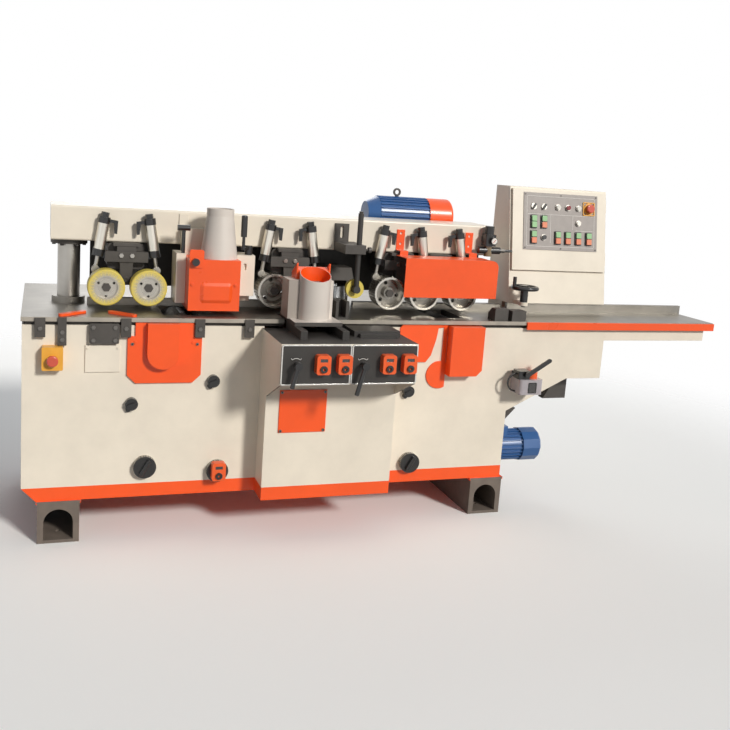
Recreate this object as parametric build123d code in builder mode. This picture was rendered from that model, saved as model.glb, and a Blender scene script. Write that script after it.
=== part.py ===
from build123d import *
from math import cos, radians, sin, tan
import os

os.makedirs("parts", exist_ok=True)

# Four sided moulder. Origin: centre of the anchor bolt pattern, on the floor.
# +X runs to the infeed end on the right, +Y to the back, +Z up. Millimetres.

# Feet and anchor bolts
FOOT_SPAN = 1752
ANCHOR_DEPTH = 620
ANCHOR_HOLE = 18
FOOT_WIDTH = 148
FOOT_HEIGHT = 152
FOOT_WALL = 12
ARCH_WIDTH = 104
ARCH_HEIGHT = 118
LIP_THICKNESS = 10
LIP_OVERHANG = 5

# Cabinet, sheet box with a cantilevered bed at the infeed end
CAB_LENGTH = 1947
CAB_DEPTH = 780
CAB_TOP = 820
CAB_CHAMFER = 50
FOOT_INSET = 130
SHEET = 8
BAND_HEIGHT = 52
BED_EXTENSION = 453
EXTENSION_DEPTH = 470
EXTENSION_BOTTOM = 597
SLOPE_BOTTOM = 458
SLOPE_RUN = 282
CAB_BOTTOM = FOOT_HEIGHT + LIP_THICKNESS
LEFT = -FOOT_SPAN / 2 - FOOT_INSET
RIGHT = LEFT + CAB_LENGTH
FRONT = -CAB_DEPTH / 2
BACK = CAB_DEPTH / 2
BED_END = RIGHT + BED_EXTENSION

# Front housing and the console on it
HOUSE_START = 861
HOUSE_LENGTH = 524
HOUSE_PROUD = 114
CONSOLE_PROUD = 300
CONSOLE_TOP = 814
CONSOLE_HEIGHT = 151
CONSOLE_GUSSET_DROP = 88
CONSOLE_SHEET = 6
PANEL_THICKNESS = 4
PANEL_BORDER = 1.5
HOUSE_LEFT = LEFT + HOUSE_START
HOUSE_RIGHT = HOUSE_LEFT + HOUSE_LENGTH
HOUSE_MID = (HOUSE_LEFT + HOUSE_RIGHT) / 2
HOUSE_FRONT = FRONT - HOUSE_PROUD
CONSOLE_FRONT = FRONT - CONSOLE_PROUD
CONSOLE_BOTTOM = CONSOLE_TOP - CONSOLE_HEIGHT

# Bed table and fence
TABLE_TOP = 850
TABLE_PLATE = 16
TABLE_OVERHANG = 12
TABLE_STEM_INSET = 10
FENCE_Y = FRONT + 262
FENCE_THICKNESS = 20
FENCE_HEIGHT = 30
FENCE_GAP = 150

# Spindles and cutterheads
SHAFT_R = 20
RUNNING_GAP = 0.05
CUTTER_R = 62.5
SIDE_CUTTER_R = 55
CUTTER_BELOW_TABLE = 1
KNIFE_COUNT = 4
KNIFE_PROUD = 1
BOTTOM_CUTTER_LENGTH = 220
SIDE_CUTTER_HEIGHT = 90
SLOT_MARGIN = 4
INFEED_BOTTOM_X = LEFT + 1668
OUTFEED_BOTTOM_X = LEFT + 560
RIGHT_SPINDLE_X = LEFT + 1235
LEFT_SPINDLE_X = LEFT + 1042
TOP_SPINDLE_X = LEFT + 676
BOTTOM_AXIS_Z = TABLE_TOP - CUTTER_BELOW_TABLE - CUTTER_R
CUTTER_FRONT_Y = FRONT + 62
RIGHT_SPINDLE_Y = FENCE_Y + SIDE_CUTTER_R - 2
LEFT_SPINDLE_Y = FRONT + 30
HEAD_TRAVEL_IN = 30
TOP_CUTTER_R = 60
TOP_AXIS_Z = 930
PULLEY_R = 32
PULLEY_WIDTH = 38
BEARING_WIDTH = 40

# Beam and its two lift columns
BEAM_LEFT = LEFT + 94
BEAM_LENGTH = 1831
BEAM_FRONT = FRONT + 250
BEAM_DEPTH = 210
BEAM_BOTTOM = 1097
BEAM_HEIGHT = 131
BEAM_CORNER = 8
COLUMN_R = 42
COLUMN_FLANGE_R = 68
COLUMN_FLANGE = 18
COLUMN_X = [LEFT + 163, LEFT + 1848]
COLUMN_Y = FRONT + 345
COLUMN_BOTTOM = 560
COLUMN_GLAND_R = 62
COLUMN_GLAND_HEIGHT = 24
BEAM_RIGHT = BEAM_LEFT + BEAM_LENGTH
BEAM_TOP = BEAM_BOTTOM + BEAM_HEIGHT
BEAM_BACK = BEAM_FRONT + BEAM_DEPTH

# Feed wheels in pairs, each pressed down by its own air cylinder
WHEEL_R = 68
WHEEL_FRONT = FRONT + 130
WHEEL_WIDTH = 60
STEEL_WHEEL_WIDTH = 80
TYRE_THICKNESS = 19
WHEEL_AXIS_Z = 937
WHEEL_OFFSET = 77.5
SERRATIONS = 36
AXLE_R = 12.5
PAIR_X = [LEFT + 369, LEFT + 1012, LEFT + 1503, LEFT + 1680]
UNIT_PLACES = [(0, -1), (0, 1), (1, -1), (1, 1), (2, -1), (2, 1), (3, 1)]
SOFT_WHEELS = 2
CYLINDER_Y = FRONT + 225
CYLINDER_TILT = 9
ROD_FOOT_OFFSET = 114
ROD_FOOT_Z = 994
ROD_R = 8
TUBE_R = 21
TUBE_BORE = 17
TUBE_LENGTH = 99
LOWER_CAP = 27
LOWER_CAP_START = 52
UPPER_CAP = 24
KNOB_HEIGHT = 18
PISTON_THICKNESS = 14
STRUT_THICKNESS = 24
STRUT_Y = FRONT + 214
LEVER_LENGTH = 46

# Rear and top parts of the feed works
TOP_MOTOR_R = 84
TOP_MOTOR_X = LEFT + 1440
TOP_MOTOR_BODY = 291
TOP_MOTOR_COWL = 119
TOP_MOTOR_Y = FRONT + 560
TOP_MOTOR_Z = 1238

# Wheel guard
GUARD_LEFT = LEFT + 1466
GUARD_LENGTH = 424
GUARD_FRONT = FRONT + 80
GUARD_TOP = 1092
GUARD_HEIGHT = 162
GUARD_SHEET = 3
STRAP_WIDTH = 36
STRAP_TOP = 1195
STRAP_X = [LEFT + 1500, LEFT + 1822]

# Top head, between the second and third feed wheel
HEAD_LEFT = LEFT + 544
HEAD_LENGTH = 305
HEAD_FRONT = FRONT + 130
HEAD_BLOCK_FRONT = FRONT + 210
HEAD_BACK = FRONT + 430
HEAD_BOTTOM = 884
HEAD_PLATE_BACK = FRONT + 245
HOUSING_R = 34
HEAD_TOP = 1075
CHIP_BOX_LEFT = LEFT + 582
CHIP_BOX_LENGTH = 195
CHIP_BOX_FRONT = FRONT + 50
CHIP_BOX_BOTTOM = 868
CHIP_BOX_TOP = 1062
HOOD_X = LEFT + 705
HOOD_Y = FRONT + 128
HOOD_BASE_R = 72
HOOD_TOP_R = 52
HOOD_TOP = 1252
HOOD_COLLAR = 28
HOOD_SHEET = 3
CRANK_X = LEFT + 828
CRANK_Y = FRONT + 165
CRANK_RADIUS = 46
LOCK_X = LEFT + 572

# Left head on the console: dust chute, shroud and slide plate
CHUTE_R = 60
CHUTE_WALL = 3
CHUTE_Y = FRONT - 60
CHUTE_TOP = 1025
STUB_SEAT = 965
STUB_LEDGE = 2
CHUTE_CUT_ANGLE = 14
SLIDE_TOP = 862
SLIDE_THICKNESS = 15
SLIDE_WIDTH = 186
SLIDE_FRONT = FRONT - 140
SLIDE_BACK = FRONT + 88
SHROUD_TOP = 1010
SHROUD_HALF = 74
SHROUD_LEFT = 102

# Press wheel beside the left head
PRESS_X = LEFT + 1268
PRESS_Y = FRONT + 112
PRESS_WHEEL_R = 38
PRESS_WHEEL_WIDTH = 22
PRESS_AXIS_Z = 953
PRESS_BAR_R = 11
PRESS_BAR_TOP = 1262
CLAMP_BOTTOM = 1094
CLAMP_HEIGHT = 41
CLAMP_LEFT = 63
CLAMP_RIGHT = 24

# Electrical cabinet with a sloping front
ECAB_LEFT = LEFT + 2027
ECAB_WIDTH = 500
ECAB_TOP = 1408
ECAB_BOTTOM = 893
ECAB_FRONT_LOW = FRONT + 213
ECAB_FRONT_HIGH = FRONT + 300
ECAB_BACK = FRONT + 426
ECAB_SHEET = 4
DOOR_THICKNESS = 12
DOOR_MARGIN = 8
PLATE_WIDTH = 383
PLATE_HEIGHT = 256
PLATE_CENTRE_X = ECAB_LEFT + 253
PLATE_CENTRE_Z = ECAB_TOP - 150

# Infeed table, motor and oil pump at the infeed end
INFEED_LENGTH = 571
INFEED_DEPTH = 282
INFEED_CHANNEL_SHORT = 39
INFEED_CHANNEL_BOTTOM = 767
INFEED_FENCE_Y = FRONT + 230
INFEED_STRIP = 32
LOWER_MOTOR_R = 76
LOWER_MOTOR_Y = FRONT + 200
LOWER_MOTOR_Z = 240
LOWER_MOTOR_BODY = 184
LOWER_MOTOR_COWL = 92
PUMP_X = LEFT + 2000
PUMP_BOTTOM = 532

# Clearances between pieces
SEAT = 0.3
TRAVEL_GAP = 6


def facing(y):
    """Upright sketch plane across the machine at depth y: X to the right, Z up.

    An extrude with a negative amount runs to the back.
    """
    return Plane.XZ.offset(-y)


def side(x):
    """Upright sketch plane along the depth at x: Y to the back, Z up."""
    return Plane.YZ.offset(x)


def level(z):
    """Flat sketch plane at height z."""
    return Plane.XY.offset(z)


def cabinet_outline(inset):
    """Front outline of the main box with its chamfered lower left corner."""
    return [
        (LEFT + inset + CAB_CHAMFER, CAB_BOTTOM + inset),
        (RIGHT - inset, CAB_BOTTOM + inset),
        (RIGHT - inset, CAB_TOP),
        (LEFT + inset, CAB_TOP),
        (LEFT + inset, CAB_BOTTOM + inset + BAND_HEIGHT),
    ]


def extension_outline(inset):
    """Front outline of the bed extension with its sloping underside."""
    return [
        (RIGHT, SLOPE_BOTTOM + 1.2 * inset),
        (RIGHT + SLOPE_RUN, EXTENSION_BOTTOM + inset),
        (BED_END - inset, EXTENSION_BOTTOM + inset),
        (BED_END - inset, CAB_TOP),
        (RIGHT, CAB_TOP),
    ]


# Cabinet: welded sheet box, bed extension and front housing, open upwards under the table
with BuildPart() as base_cabinet:
    with BuildSketch(facing(FRONT)):
        with BuildLine():
            Polyline(*cabinet_outline(0), close=True)
        make_face()
    extrude(amount=-CAB_DEPTH)
    with BuildSketch(facing(FRONT)):
        with BuildLine():
            Polyline(*extension_outline(0), close=True)
        make_face()
    extrude(amount=-EXTENSION_DEPTH)
    with BuildSketch(facing(HOUSE_FRONT)):
        with Locations((HOUSE_MID, (CAB_BOTTOM + CONSOLE_TOP - CONSOLE_SHEET) / 2)):
            Rectangle(HOUSE_LENGTH, CONSOLE_TOP - CONSOLE_SHEET - CAB_BOTTOM)
    extrude(amount=-HOUSE_PROUD)
    with BuildSketch(facing(FRONT + SHEET)):
        with BuildLine():
            Polyline(*cabinet_outline(SHEET), close=True)
        make_face()
    extrude(amount=-(CAB_DEPTH - 2 * SHEET), mode=Mode.SUBTRACT)
    with BuildSketch(facing(FRONT + SHEET)):
        with BuildLine():
            Polyline(*extension_outline(SHEET), close=True)
        make_face()
    extrude(amount=-(EXTENSION_DEPTH - 2 * SHEET), mode=Mode.SUBTRACT)
    with BuildSketch(facing(HOUSE_FRONT + SHEET)):
        with Locations((HOUSE_MID, (CAB_BOTTOM + SHEET + CAB_TOP) / 2)):
            Rectangle(HOUSE_LENGTH - 2 * SHEET, CAB_TOP - CAB_BOTTOM - SHEET)
    extrude(amount=-(HOUSE_PROUD + SHEET), mode=Mode.SUBTRACT)
base_cabinet.part.label = "base_cabinet"
export_step(base_cabinet.part, "parts/base_cabinet.step")

# Feet: two hollow cross beams with arched mouths, a floor plate and a wider lip plate on top
with BuildPart() as base_feet:
    for foot_x in (-FOOT_SPAN / 2, FOOT_SPAN / 2):
        with BuildSketch(facing(FRONT - LIP_OVERHANG)):
            with Locations((foot_x, FOOT_HEIGHT / 2)):
                Rectangle(FOOT_WIDTH, FOOT_HEIGHT)
            arch_side = FOOT_WALL + ARCH_HEIGHT - ARCH_WIDTH / 2
            with BuildLine():
                Polyline(
                    (foot_x - ARCH_WIDTH / 2, arch_side),
                    (foot_x - ARCH_WIDTH / 2, FOOT_WALL),
                    (foot_x + ARCH_WIDTH / 2, FOOT_WALL),
                    (foot_x + ARCH_WIDTH / 2, arch_side),
                )
                ThreePointArc(
                    (foot_x + ARCH_WIDTH / 2, arch_side),
                    (foot_x, FOOT_WALL + ARCH_HEIGHT),
                    (foot_x - ARCH_WIDTH / 2, arch_side),
                )
            make_face(mode=Mode.SUBTRACT)
        extrude(amount=-(CAB_DEPTH + 2 * LIP_OVERHANG))
        with BuildSketch(level(FOOT_HEIGHT)):
            with Locations((foot_x, 0)):
                Rectangle(FOOT_WIDTH + 2 * LIP_OVERHANG, CAB_DEPTH + 2 * LIP_OVERHANG)
        extrude(amount=LIP_THICKNESS)
        with BuildSketch(level(0)):
            with Locations((foot_x, -ANCHOR_DEPTH / 2), (foot_x, ANCHOR_DEPTH / 2)):
                Circle(ANCHOR_HOLE / 2)
        extrude(amount=FOOT_WALL, mode=Mode.SUBTRACT)
base_feet.part.label = "base_feet"
export_step(base_feet.part, "parts/base_feet.step")

# Bed table: planed plate on a recessed stem, with throats for the cutters and bearing blocks below
THROAT_HALF = CUTTER_R + SLOT_MARGIN
NOTCH_HALF = SLIDE_WIDTH / 2 + TRAVEL_GAP
NOTCH_BACK = SLIDE_BACK + HEAD_TRAVEL_IN + TRAVEL_GAP
STEM_HEIGHT = TABLE_TOP - TABLE_PLATE - CAB_TOP
with BuildPart() as bed_table:
    with BuildSketch(level(CAB_TOP)):
        with Locations(((LEFT + RIGHT) / 2, 0)):
            Rectangle(CAB_LENGTH - 2 * TABLE_STEM_INSET, CAB_DEPTH - 2 * TABLE_STEM_INSET)
        with Locations(((RIGHT + BED_END) / 2 - TABLE_STEM_INSET, FRONT + EXTENSION_DEPTH / 2)):
            Rectangle(BED_EXTENSION, EXTENSION_DEPTH - 2 * TABLE_STEM_INSET)
    extrude(amount=STEM_HEIGHT)
    with BuildSketch(level(CAB_TOP + STEM_HEIGHT)):
        with Locations(((LEFT + RIGHT) / 2, 0)):
            Rectangle(CAB_LENGTH + 8, CAB_DEPTH + 2 * TABLE_OVERHANG)
        with Locations(((RIGHT + BED_END) / 2, FRONT + EXTENSION_DEPTH / 2)):
            Rectangle(BED_EXTENSION, EXTENSION_DEPTH + 2 * TABLE_OVERHANG)
    extrude(amount=TABLE_PLATE)
    # Bearing blocks of the two bottom spindles
    for spindle_x in (INFEED_BOTTOM_X, OUTFEED_BOTTOM_X):
        for block_y in (FRONT + 300, FRONT + 520):
            with BuildSketch(facing(block_y)):
                with Locations((spindle_x, (BOTTOM_AXIS_Z - 45 + CAB_TOP) / 2)):
                    Rectangle(110, CAB_TOP - BOTTOM_AXIS_Z + 45)
            extrude(amount=-BEARING_WIDTH)
        with BuildSketch(facing(FRONT + 290)):
            with Locations((spindle_x, BOTTOM_AXIS_Z)):
                Circle(SHAFT_R + RUNNING_GAP)
        extrude(amount=-280, mode=Mode.SUBTRACT)
    # Bearing column of the right spindle
    with BuildSketch(level(CAB_TOP - 170)):
        with Locations((RIGHT_SPINDLE_X, RIGHT_SPINDLE_Y)):
            Circle(SIDE_CUTTER_R)
    extrude(amount=170)
    with BuildSketch(level(CAB_TOP - 170)):
        with Locations((RIGHT_SPINDLE_X, RIGHT_SPINDLE_Y)):
            Circle(SHAFT_R + RUNNING_GAP)
    extrude(amount=TABLE_TOP - CAB_TOP + 170, mode=Mode.SUBTRACT)
    # Throats, head notch, column bores
    with BuildSketch(level(CAB_TOP)):
        for spindle_x in (INFEED_BOTTOM_X, OUTFEED_BOTTOM_X):
            with Locations((spindle_x, CUTTER_FRONT_Y + BOTTOM_CUTTER_LENGTH / 2)):
                Rectangle(2 * THROAT_HALF, BOTTOM_CUTTER_LENGTH + 2 * SLOT_MARGIN)
        with Locations((LEFT_SPINDLE_X, (FRONT - TABLE_OVERHANG + NOTCH_BACK) / 2)):
            Rectangle(2 * NOTCH_HALF, NOTCH_BACK - FRONT + TABLE_OVERHANG)
        for column_x in COLUMN_X:
            with Locations((column_x, COLUMN_Y)):
                Circle(COLUMN_R + RUNNING_GAP)
    extrude(amount=TABLE_TOP - CAB_TOP, mode=Mode.SUBTRACT)
    # Column glands
    with BuildSketch(level(TABLE_TOP)):
        for column_x in COLUMN_X:
            with Locations((column_x, COLUMN_Y)):
                Circle(COLUMN_GLAND_R)
                Circle(COLUMN_R + RUNNING_GAP, mode=Mode.SUBTRACT)
    extrude(amount=COLUMN_GLAND_HEIGHT)
bed_table.part.label = "bed_table"
export_step(bed_table.part, "parts/bed_table.step")

# Rear fence: two straight bars with a gap for the right cutter, and the chip cap over that cutter
with BuildPart() as rear_fence:
    fence_ends = [
        (LEFT + 230, RIGHT_SPINDLE_X - FENCE_GAP / 2),
        (RIGHT_SPINDLE_X + FENCE_GAP / 2, LEFT + 2015),
    ]
    with BuildSketch(level(TABLE_TOP)):
        for start, end in fence_ends:
            with Locations(((start + end) / 2, FENCE_Y + FENCE_THICKNESS / 2)):
                Rectangle(end - start, FENCE_THICKNESS)
    extrude(amount=FENCE_HEIGHT)
    chamfer(rear_fence.edges().group_by(Axis.Z)[-1].filter_by(Axis.X), length=3)
    with BuildSketch(side(RIGHT_SPINDLE_X - 70)):
        with BuildLine():
            Polyline(
                (FENCE_Y + 60, TABLE_TOP),
                (FENCE_Y + 130, TABLE_TOP),
                (FENCE_Y + 130, TABLE_TOP + 170),
                (FENCE_Y + 30, TABLE_TOP + 170),
                (FENCE_Y - 6, TABLE_TOP + 120),
                (FENCE_Y + 60, TABLE_TOP + 120),
                close=True,
            )
        make_face()
    extrude(amount=140)
    with BuildSketch(level(TABLE_TOP)):
        with Locations((RIGHT_SPINDLE_X, RIGHT_SPINDLE_Y)):
            Circle(SIDE_CUTTER_R + KNIFE_PROUD + 4)
    extrude(amount=120, mode=Mode.SUBTRACT)
rear_fence.part.label = "rear_fence"
export_step(rear_fence.part, "parts/rear_fence.step")

# Steel brackets on the table's front edge: lugs, drop plates, junction plate, guide blocks, guide arms
LUG_X = [LEFT + 60, LEFT + 354, LEFT + 621, LEFT + 808]
LUG_WIDTH = 36
LUG_TOP = TABLE_TOP - 2
LUG_BOTTOM = 779
LUG_PLATE = 8
BRACKET_Y = FRONT - TABLE_OVERHANG
with BuildPart() as table_brackets:
    with BuildSketch(facing(BRACKET_Y - LUG_PLATE)):
        for lug_x in LUG_X:
            with Locations((lug_x, (LUG_TOP + LUG_BOTTOM) / 2)):
                Rectangle(LUG_WIDTH, LUG_TOP - LUG_BOTTOM)
        with Locations((LEFT + 134, (TABLE_TOP + 749) / 2)):
            Rectangle(30, TABLE_TOP - 749)
        with Locations((LEFT + 278, 792)):
            RectangleRounded(104, 74, 6)
    extrude(amount=-LUG_PLATE)
    # Spacer pads carry the plates off the cabinet front
    with BuildSketch(facing(BRACKET_Y)):
        for lug_x in LUG_X + [LEFT + 134, LEFT + 250, LEFT + 306]:
            with Locations((lug_x, 800)):
                Rectangle(24, 30)
    extrude(amount=-TABLE_OVERHANG)
    # Bolt heads
    bolt_places = [(lug_x, 811) for lug_x in LUG_X]
    bolt_places += [(LEFT + 134, 797), (LEFT + 134, 770)]
    bolt_places += [(LEFT + 240, 815), (LEFT + 316, 815), (LEFT + 240, 768), (LEFT + 316, 768)]
    with BuildSketch(facing(BRACKET_Y - LUG_PLATE - 6)):
        with Locations(*bolt_places):
            RegularPolygon(8, 6)
    extrude(amount=-6)
    # Guide block right of the chute, a short channel
    with BuildSketch(level(TABLE_TOP)):
        with Locations((LEFT + 1176, FRONT + 40)):
            Rectangle(54, 90)
    extrude(amount=72)
    with BuildSketch(facing(FRONT - 10)):
        with Locations((LEFT + 1176, TABLE_TOP + 44)):
            Rectangle(30, 72)
    extrude(amount=-70, mode=Mode.SUBTRACT)
    # Front guide clamps at the infeed end
    with BuildSketch(side(LEFT + 1850)):
        with BuildLine():
            Polyline(
                (FRONT - 4, TABLE_TOP),
                (FRONT + 60, TABLE_TOP),
                (FRONT + 60, TABLE_TOP + 26),
                (FRONT + 30, TABLE_TOP + 52),
                (FRONT - 4, TABLE_TOP + 52),
                close=True,
            )
        make_face()
    extrude(amount=62)
    with BuildSketch(side(LEFT + 1928)):
        with Locations((FRONT + 18, TABLE_TOP + 22)):
            Rectangle(56, 44)
    extrude(amount=66)
    # Two flat guide arms lying on the table
    for pivot_x, lean in ((LEFT + 134, 42), (LEFT + 380, 138)):
        with BuildSketch(level(TABLE_TOP)):
            with Locations(Location((pivot_x, FRONT + 12, 0), (0, 0, lean))):
                with Locations((48, 0)):
                    SlotOverall(124, 22)
        extrude(amount=9)
table_brackets.part.label = "table_brackets"
export_step(table_brackets.part, "parts/table_brackets.step")

# Left cover: flanged plate with a raised round-bottomed boss
COVER_PLATE = 8
BOSS_PROUD = 30
COVER_X = LEFT + 495
BOSS_X = LEFT + 487
BOSS_R = 58
BOSS_BOTTOM = 662
with BuildPart() as left_cover:
    with BuildSketch(facing(FRONT - COVER_PLATE)):
        with BuildLine():
            Polyline(
                (COVER_X - 107, TABLE_TOP - TABLE_PLATE - 2),
                (COVER_X - 107, 781),
                (COVER_X - 134, 781),
                (COVER_X - 134, 634),
                (COVER_X - 103, 604),
                (COVER_X + 105, 604),
                (COVER_X + 136, 634),
                (COVER_X + 136, 781),
                (COVER_X + 107, 781),
                (COVER_X + 107, TABLE_TOP - TABLE_PLATE - 2),
                close=True,
            )
        make_face()
    extrude(amount=-COVER_PLATE)
    with BuildSketch(facing(FRONT - COVER_PLATE - BOSS_PROUD)):
        with BuildLine():
            Polyline(
                (BOSS_X - BOSS_R, BOSS_BOTTOM + BOSS_R),
                (BOSS_X - BOSS_R, TABLE_TOP - TABLE_PLATE - 2),
                (BOSS_X + BOSS_R, TABLE_TOP - TABLE_PLATE - 2),
                (BOSS_X + BOSS_R, BOSS_BOTTOM + BOSS_R),
            )
            ThreePointArc(
                (BOSS_X + BOSS_R, BOSS_BOTTOM + BOSS_R),
                (BOSS_X, BOSS_BOTTOM),
                (BOSS_X - BOSS_R, BOSS_BOTTOM + BOSS_R),
            )
        make_face()
    extrude(amount=-BOSS_PROUD)
    with BuildSketch(facing(FRONT - COVER_PLATE - 3)):
        with Locations((COVER_X - 106, 758), (COVER_X + 104, 758)):
            Circle(6)
    extrude(amount=-3)
left_cover.part.label = "left_cover"
export_step(left_cover.part, "parts/left_cover.step")

# Flat panels on the front: right cover with its round end, square housing panel, small hatch
BELT_LEFT = LEFT + 1642
BELT_WIDTH = 146
BELT_TOP = 830
BELT_HEIGHT = 206
BELT_PROUD = 50
ROUND_END_X = LEFT + 1616
ROUND_END_Z = 622
ROUND_END_R = 58
with BuildPart() as front_panels:
    with BuildSketch(facing(FRONT - 5)):
        with BuildLine():
            Polyline(
                (LEFT + 1428, 818),
                (LEFT + 1440, TABLE_TOP - TABLE_PLATE - 2),
                (LEFT + 1639, TABLE_TOP - TABLE_PLATE - 2),
                (LEFT + 1639, ROUND_END_Z),
                (LEFT + 1622, ROUND_END_Z),
                (LEFT + 1622, 822),
                (LEFT + 1597, 818),
                (LEFT + 1590, 770),
                (LEFT + 1572, 705),
                (LEFT + 1550, 676),
                (LEFT + 1440, 676),
                (LEFT + 1428, 690),
                close=True,
            )
        make_face()
        with Locations((ROUND_END_X, ROUND_END_Z)):
            Circle(ROUND_END_R)
        with Locations((BELT_LEFT + BELT_WIDTH / 2, ROUND_END_Z)):
            Rectangle(BELT_WIDTH, 2 * BELT_HEIGHT, mode=Mode.SUBTRACT)
        with Locations((LEFT + 275, 697)):
            Rectangle(122, 100)
    extrude(amount=-5)
    with BuildSketch(facing(HOUSE_FRONT - 4)):
        with Locations((LEFT + 1007, 514)):
            Rectangle(186, 167)
    extrude(amount=-4)
    with BuildSketch(facing(FRONT - 8)):
        with Locations((LEFT + 222, 736), (LEFT + 328, 736)):
            Circle(4)
    extrude(amount=-3)
front_panels.part.label = "front_panels"
export_step(front_panels.part, "parts/front_panels.step")

# Belt cover: folded box with a chamfered lower corner, open at the back
belt_outline = [
    (BELT_LEFT, BELT_TOP),
    (BELT_LEFT + BELT_WIDTH, BELT_TOP),
    (BELT_LEFT + BELT_WIDTH, BELT_TOP - BELT_HEIGHT + 24),
    (BELT_LEFT + BELT_WIDTH - 24, BELT_TOP - BELT_HEIGHT),
    (BELT_LEFT, BELT_TOP - BELT_HEIGHT),
]
with BuildPart() as belt_cover:
    with BuildSketch(facing(FRONT - BELT_PROUD)):
        with BuildLine():
            Polyline(*belt_outline, close=True)
        make_face()
    extrude(amount=-BELT_PROUD)
    hollow_face = belt_cover.faces().sort_by(Axis.Y)[-1]
    offset(amount=-3, openings=hollow_face)
belt_cover.part.label = "belt_cover"
export_step(belt_cover.part, "parts/belt_cover.step")

# Console shelf: deck, two tapering gussets and a front frame; the head slot goes through the deck
GUSSET_LOW = CONSOLE_BOTTOM - CONSOLE_GUSSET_DROP
with BuildPart() as console_shelf:
    with BuildSketch(level(CONSOLE_TOP - CONSOLE_SHEET)):
        with Locations((HOUSE_MID, (CONSOLE_FRONT + FRONT) / 2)):
            Rectangle(HOUSE_LENGTH, CONSOLE_PROUD)
    extrude(amount=CONSOLE_SHEET)
    for gusset_x in (HOUSE_LEFT, HOUSE_RIGHT - CONSOLE_SHEET):
        with BuildSketch(side(gusset_x)):
            with BuildLine():
                Polyline(
                    (CONSOLE_FRONT, CONSOLE_TOP - CONSOLE_SHEET),
                    (CONSOLE_FRONT, CONSOLE_BOTTOM),
                    (HOUSE_FRONT, GUSSET_LOW),
                    (HOUSE_FRONT, CONSOLE_TOP - CONSOLE_SHEET),
                    close=True,
                )
            make_face()
        extrude(amount=CONSOLE_SHEET)
    with BuildSketch(facing(CONSOLE_FRONT)):
        with Locations((HOUSE_MID, (CONSOLE_TOP + CONSOLE_BOTTOM) / 2)):
            Rectangle(HOUSE_LENGTH, CONSOLE_HEIGHT)
    extrude(amount=-CONSOLE_SHEET)
    # Rails under the head slide
    for rail_x in (LEFT_SPINDLE_X - 80, LEFT_SPINDLE_X + 80):
        with BuildSketch(level(CONSOLE_TOP)):
            with Locations((rail_x, (CONSOLE_FRONT + 70 + FRONT - TABLE_OVERHANG) / 2)):
                Rectangle(26, CONSOLE_PROUD - 70 - TABLE_OVERHANG)
        extrude(amount=SLIDE_TOP - SLIDE_THICKNESS - SEAT - CONSOLE_TOP)
    # Covered slide on the right half of the deck
    with BuildSketch(level(CONSOLE_TOP)):
        with Locations((LEFT + 1268, FRONT - 110)):
            Rectangle(186, 120)
    extrude(amount=22)
    with BuildSketch(level(CONSOLE_TOP)):
        with Locations((LEFT + 1268, FRONT - 110)):
            Rectangle(150, 160)
    extrude(amount=14)
console_shelf.part.label = "console_shelf"
export_step(console_shelf.part, "parts/console_shelf.step")

# Console panel: two black plates side by side
PANEL_JOINT_X = LEFT + 1124
with BuildPart() as console_panel:
    panel_spans = [
        (HOUSE_LEFT + PANEL_BORDER, PANEL_JOINT_X - 1),
        (PANEL_JOINT_X + 1, HOUSE_RIGHT - PANEL_BORDER),
    ]
    for start, end in panel_spans:
        with BuildSketch(facing(CONSOLE_FRONT - PANEL_THICKNESS)):
            with Locations(((start + end) / 2, (CONSOLE_TOP + CONSOLE_BOTTOM) / 2)):
                RectangleRounded(end - start, CONSOLE_HEIGHT - 2 * PANEL_BORDER, 9)
        extrude(amount=-PANEL_THICKNESS)
console_panel.part.label = "console_panel"
export_step(console_panel.part, "parts/console_panel.step")

# Position counters: five digital indicators with round hubs, four on the console
COUNTER_WIDTH = 52
COUNTER_HEIGHT = 70
COUNTER_DEPTH = 33
COUNTER_HUB_R = 13
COUNTER_Z = 744
COUNTER_X = [LEFT + 1011, LEFT + 1092, LEFT + 1262, LEFT + 1344]
COUNTER_BACK = CONSOLE_FRONT - PANEL_THICKNESS
DISC_COUNTER_X = LEFT + 708
DISC_COUNTER_Z = 262
DISC_KNOB_DEPTH = 24
counter_places = [(x, COUNTER_BACK, COUNTER_Z) for x in COUNTER_X]
counter_places.append((DISC_COUNTER_X, FRONT - DISC_KNOB_DEPTH, DISC_COUNTER_Z))
with BuildPart() as position_counters:
    for counter_x, counter_back, counter_z in counter_places:
        with BuildSketch(facing(counter_back)):
            with Locations((counter_x, counter_z)):
                RectangleRounded(COUNTER_WIDTH, COUNTER_HEIGHT, 9)
        extrude(amount=COUNTER_DEPTH)
        with BuildSketch(facing(counter_back - COUNTER_DEPTH)):
            with Locations((counter_x, counter_z - 14)):
                Circle(COUNTER_HUB_R)
                Circle(5, mode=Mode.SUBTRACT)
        extrude(amount=7)
        with BuildSketch(facing(counter_back - COUNTER_DEPTH)):
            with Locations((counter_x, counter_z + 17)):
                Rectangle(28, 12)
        extrude(amount=-2, mode=Mode.SUBTRACT)
position_counters.part.label = "position_counters"
export_step(position_counters.part, "parts/position_counters.step")


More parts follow.
